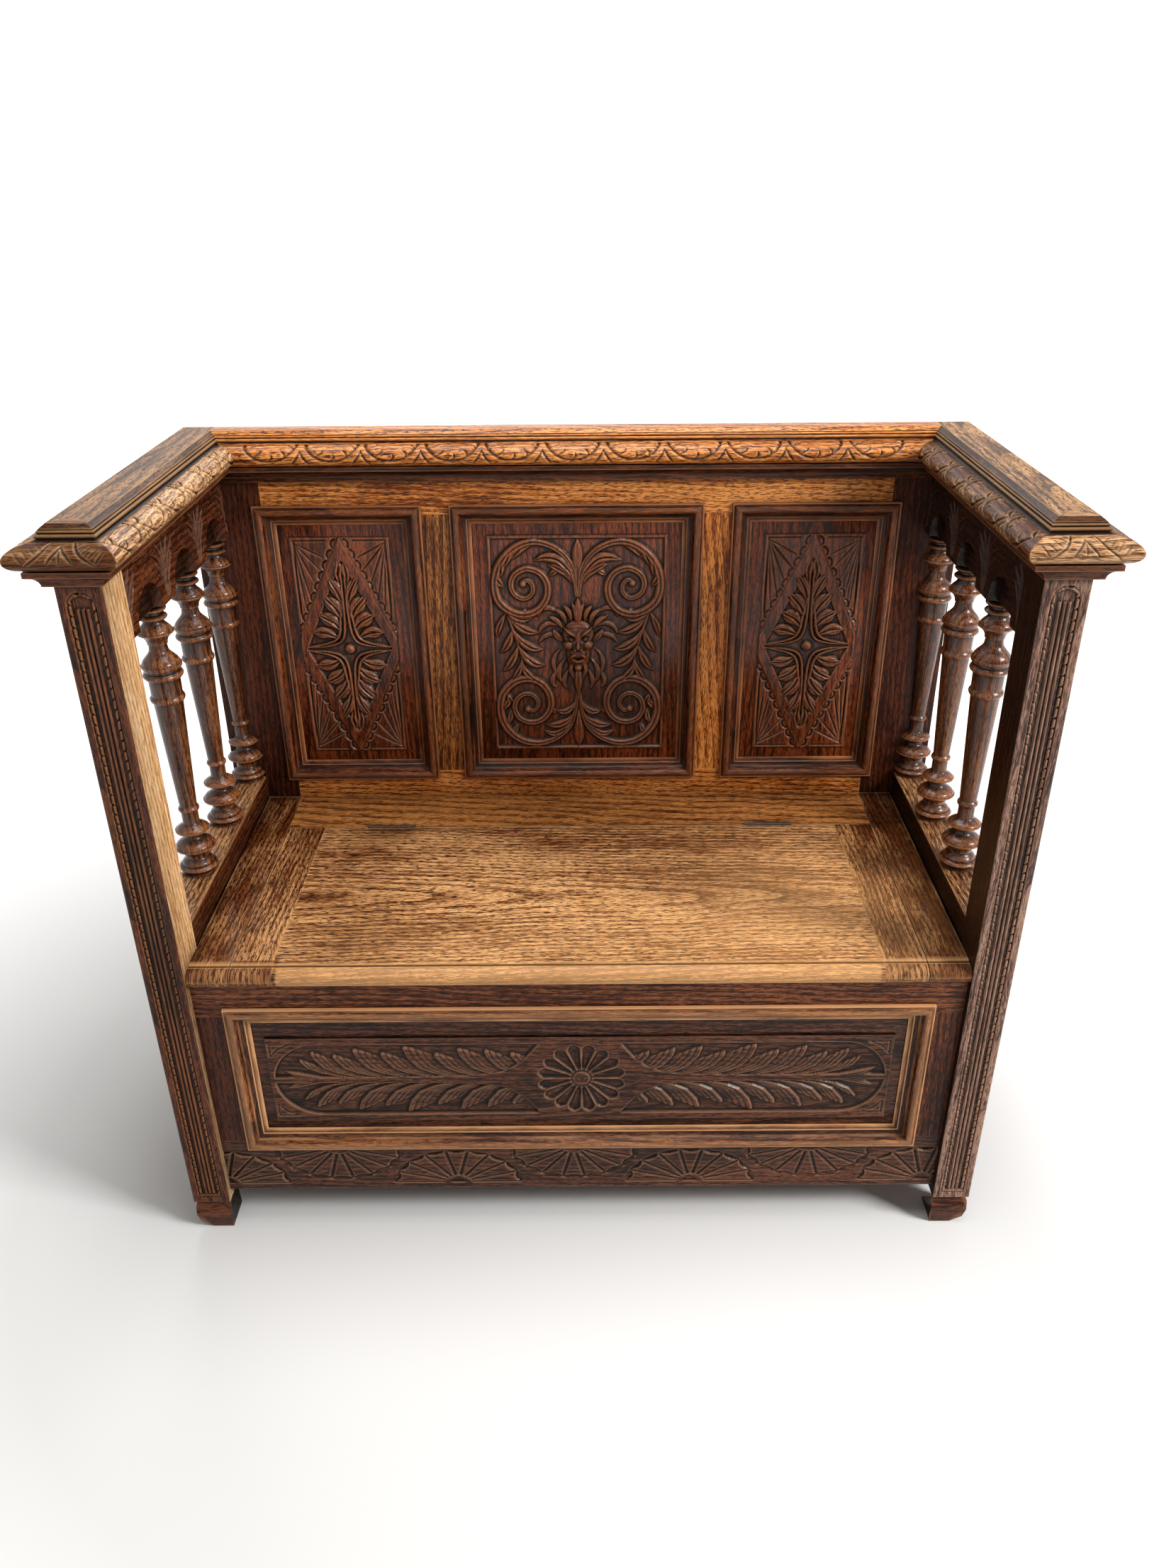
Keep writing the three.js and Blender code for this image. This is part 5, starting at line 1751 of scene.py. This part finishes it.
def seat_marks(x, y):
    """Grime, wear, and stains with painted shade on the right, by the distance across and the
    distance from the front.
    """
    hinges = spot(x, y, (-HINGE_X, 372), (46, 26)) + 0.4 * spot(x, y, (HINGE_X, 372), (40, 14))
    knots = spot(x, y, (-48, 113), (6, 4)) + spot(x, y, (279, 163), (6, 4))
    ring = np.exp(-(((np.hypot(x + 207, y - 179) - 75) / 2.6) ** 2))
    darkening = 0.9 * (y > 19.0) * (y < QUIRK) + 0.55 * hinges + 0.8 * knots + 0.25 * ring
    darkening += 0.25 * unit((y - 355) / 16)
    worn = 0.6 * spot(x, y, (280, 140), (160, 140)) + 0.25 * spot(x, y, (-60, 60), (300, 50))
    worn += 0.9 * (y > QUIRK) * (y < 24.5) + 0.9 * (y < 19) * (np.abs(x) < 387)
    stain_and_shade = 0.32 * unit((y - 250) / 130) + 0.30 * spot(x, y, (-330, 230), (90, 160))
    # the ends darkened, the right one more: stain, and on the right painted shade of the right arm
    stain_and_shade += unit((np.abs(x) - 447) / 0.5) * np.where(x > 0, 1.2, 0.75)
    stain_and_shade += 0.25 * (x < -LID_HALF) * (x > -CLEAT_END) + 0.25 * spot(x, y, (-300, 60), (90, 90))
    # the right cleat darkened: painted shade of the right arm
    stain_and_shade += 0.55 * unit((x - 392) / 0.5) * unit((447 - x) / 0.5)
    stain_and_shade += 0.8 * (x < -387) * (x > -CLEAT_END) * (y < 31)
    return np.stack([darkening, worn, stain_and_shade], axis=-1)


print("marks by the left hinge:", seat_marks(np.array([-HINGE_X]), np.array([372]))[0].round(2))

# %% [markdown]
# The lid is one board between two cleats, whose grain runs across it. Its rear edge is cut back
# for the moving leaves of the hinges.

# %% Seat and lid
LID_REAR = 371.8
LID_LOG = (4.0, -0.20, 0.045)  # the heart lies under the lid's middle, so its rings make peaks
HOUSING_DEPTH, HOUSING_HALF, HOUSING_TALL = 2.8, 36, 19


def seat_board(name, x, rear, body, node, parts, cross_grain, log=None):
    run = run_of_moulding(
        seat_profile(rear, parts), x, (0, 0, SEAT), ACROSS, BACK, UP, step=4,
        cross_grain=cross_grain, stains_and_shade=seat_marks, log=log,
    )
    piece(name, [run], seat_oak, node, body)


seat_board("lid_panel", (-LID_HALF, LID_HALF), LID_REAR, "lid", "lid_board", 88, False, LID_LOG)
housing_foot = FOOT + (SEAT - HOUSING_TALL) * MM
rear_edge = FRONT + (LID_REAR - 0.9) * MM
for vertex in pieces["lid_panel"].data.vertices:
    x, y, z = vertex.co
    beside = abs(abs(x) - HINGE_X * MM) < HOUSING_HALF * MM
    if y > rear_edge and z > housing_foot and beside:
        vertex.co.y = y - HOUSING_DEPTH * MM
for hand, side in HANDS.items():
    for name, near, far, rear, body, node in (
        ("lid_end", 392.35, 446.65, LID_REAR, "lid", "lid_cleat"),
        ("seat_side", 447.9, 500.7, BACK_FRAME, "settle", "seat_end"),
    ):
        span = sorted((side * near, side * far))
        seat_board(f"{name}_{hand}", span, rear, body, f"{node}_{hand}", 44, True)

# %% [markdown]
# The feet are short blocks that a block plane has rounded. Under the post the wood is cut back,
# then it swells to a blunt ridge and falls straight to the floor, and the outer lower corner is
# rounded away.

# %% Feet
foot_side = [
    (50, 0), (4.5, 0), (2.4, 12), (0.6, 26), (0.0, 28.5), (0.5, 31),
    *arc(14.5, 29.5, 13.8, 20.5, 172, 118, 6), (8.0, 51.9), (50, 51.9),
]
FOOT_OUTER, FOOT_INNER, FOOT_TALL = 552, 501.4, 52
CORNER_TALL, CORNER_WIDE = 27, 20  # the rounded outer lower corner
foot_height = np.array([z for _, z in foot_side])
fall = 1 - unit(foot_height / CORNER_TALL)
outer_edge = FOOT_OUTER - CORNER_WIDE * (1 - np.sqrt(unit(1 - fall**2)))
outer_edge -= 6 * unit((foot_height - 40) / 12) ** 2
inner_edge = FOOT_INNER + 2.5 * unit((4 - foot_height) / 4)
for hand, side in HANDS.items():
    run = run_of_moulding(
        foot_side, (inner_edge, outer_edge), (0, 0, -FOOT_TALL), (side, 0, 0), BACK, UP, step=6
    )
    piece(f"front_foot_{hand}", [run], post_oak, f"foot_front_{hand}")

# %% [markdown]
# The last cell shows the dressed settle's box beside the frame's box.

# %% Sizes
end_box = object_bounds()
as_lists = lambda box: [[float(v) for v in corner] for corner in box]
{"cad": as_lists(start_box), "visual": as_lists(end_box)}
print("pieces", len(pieces))
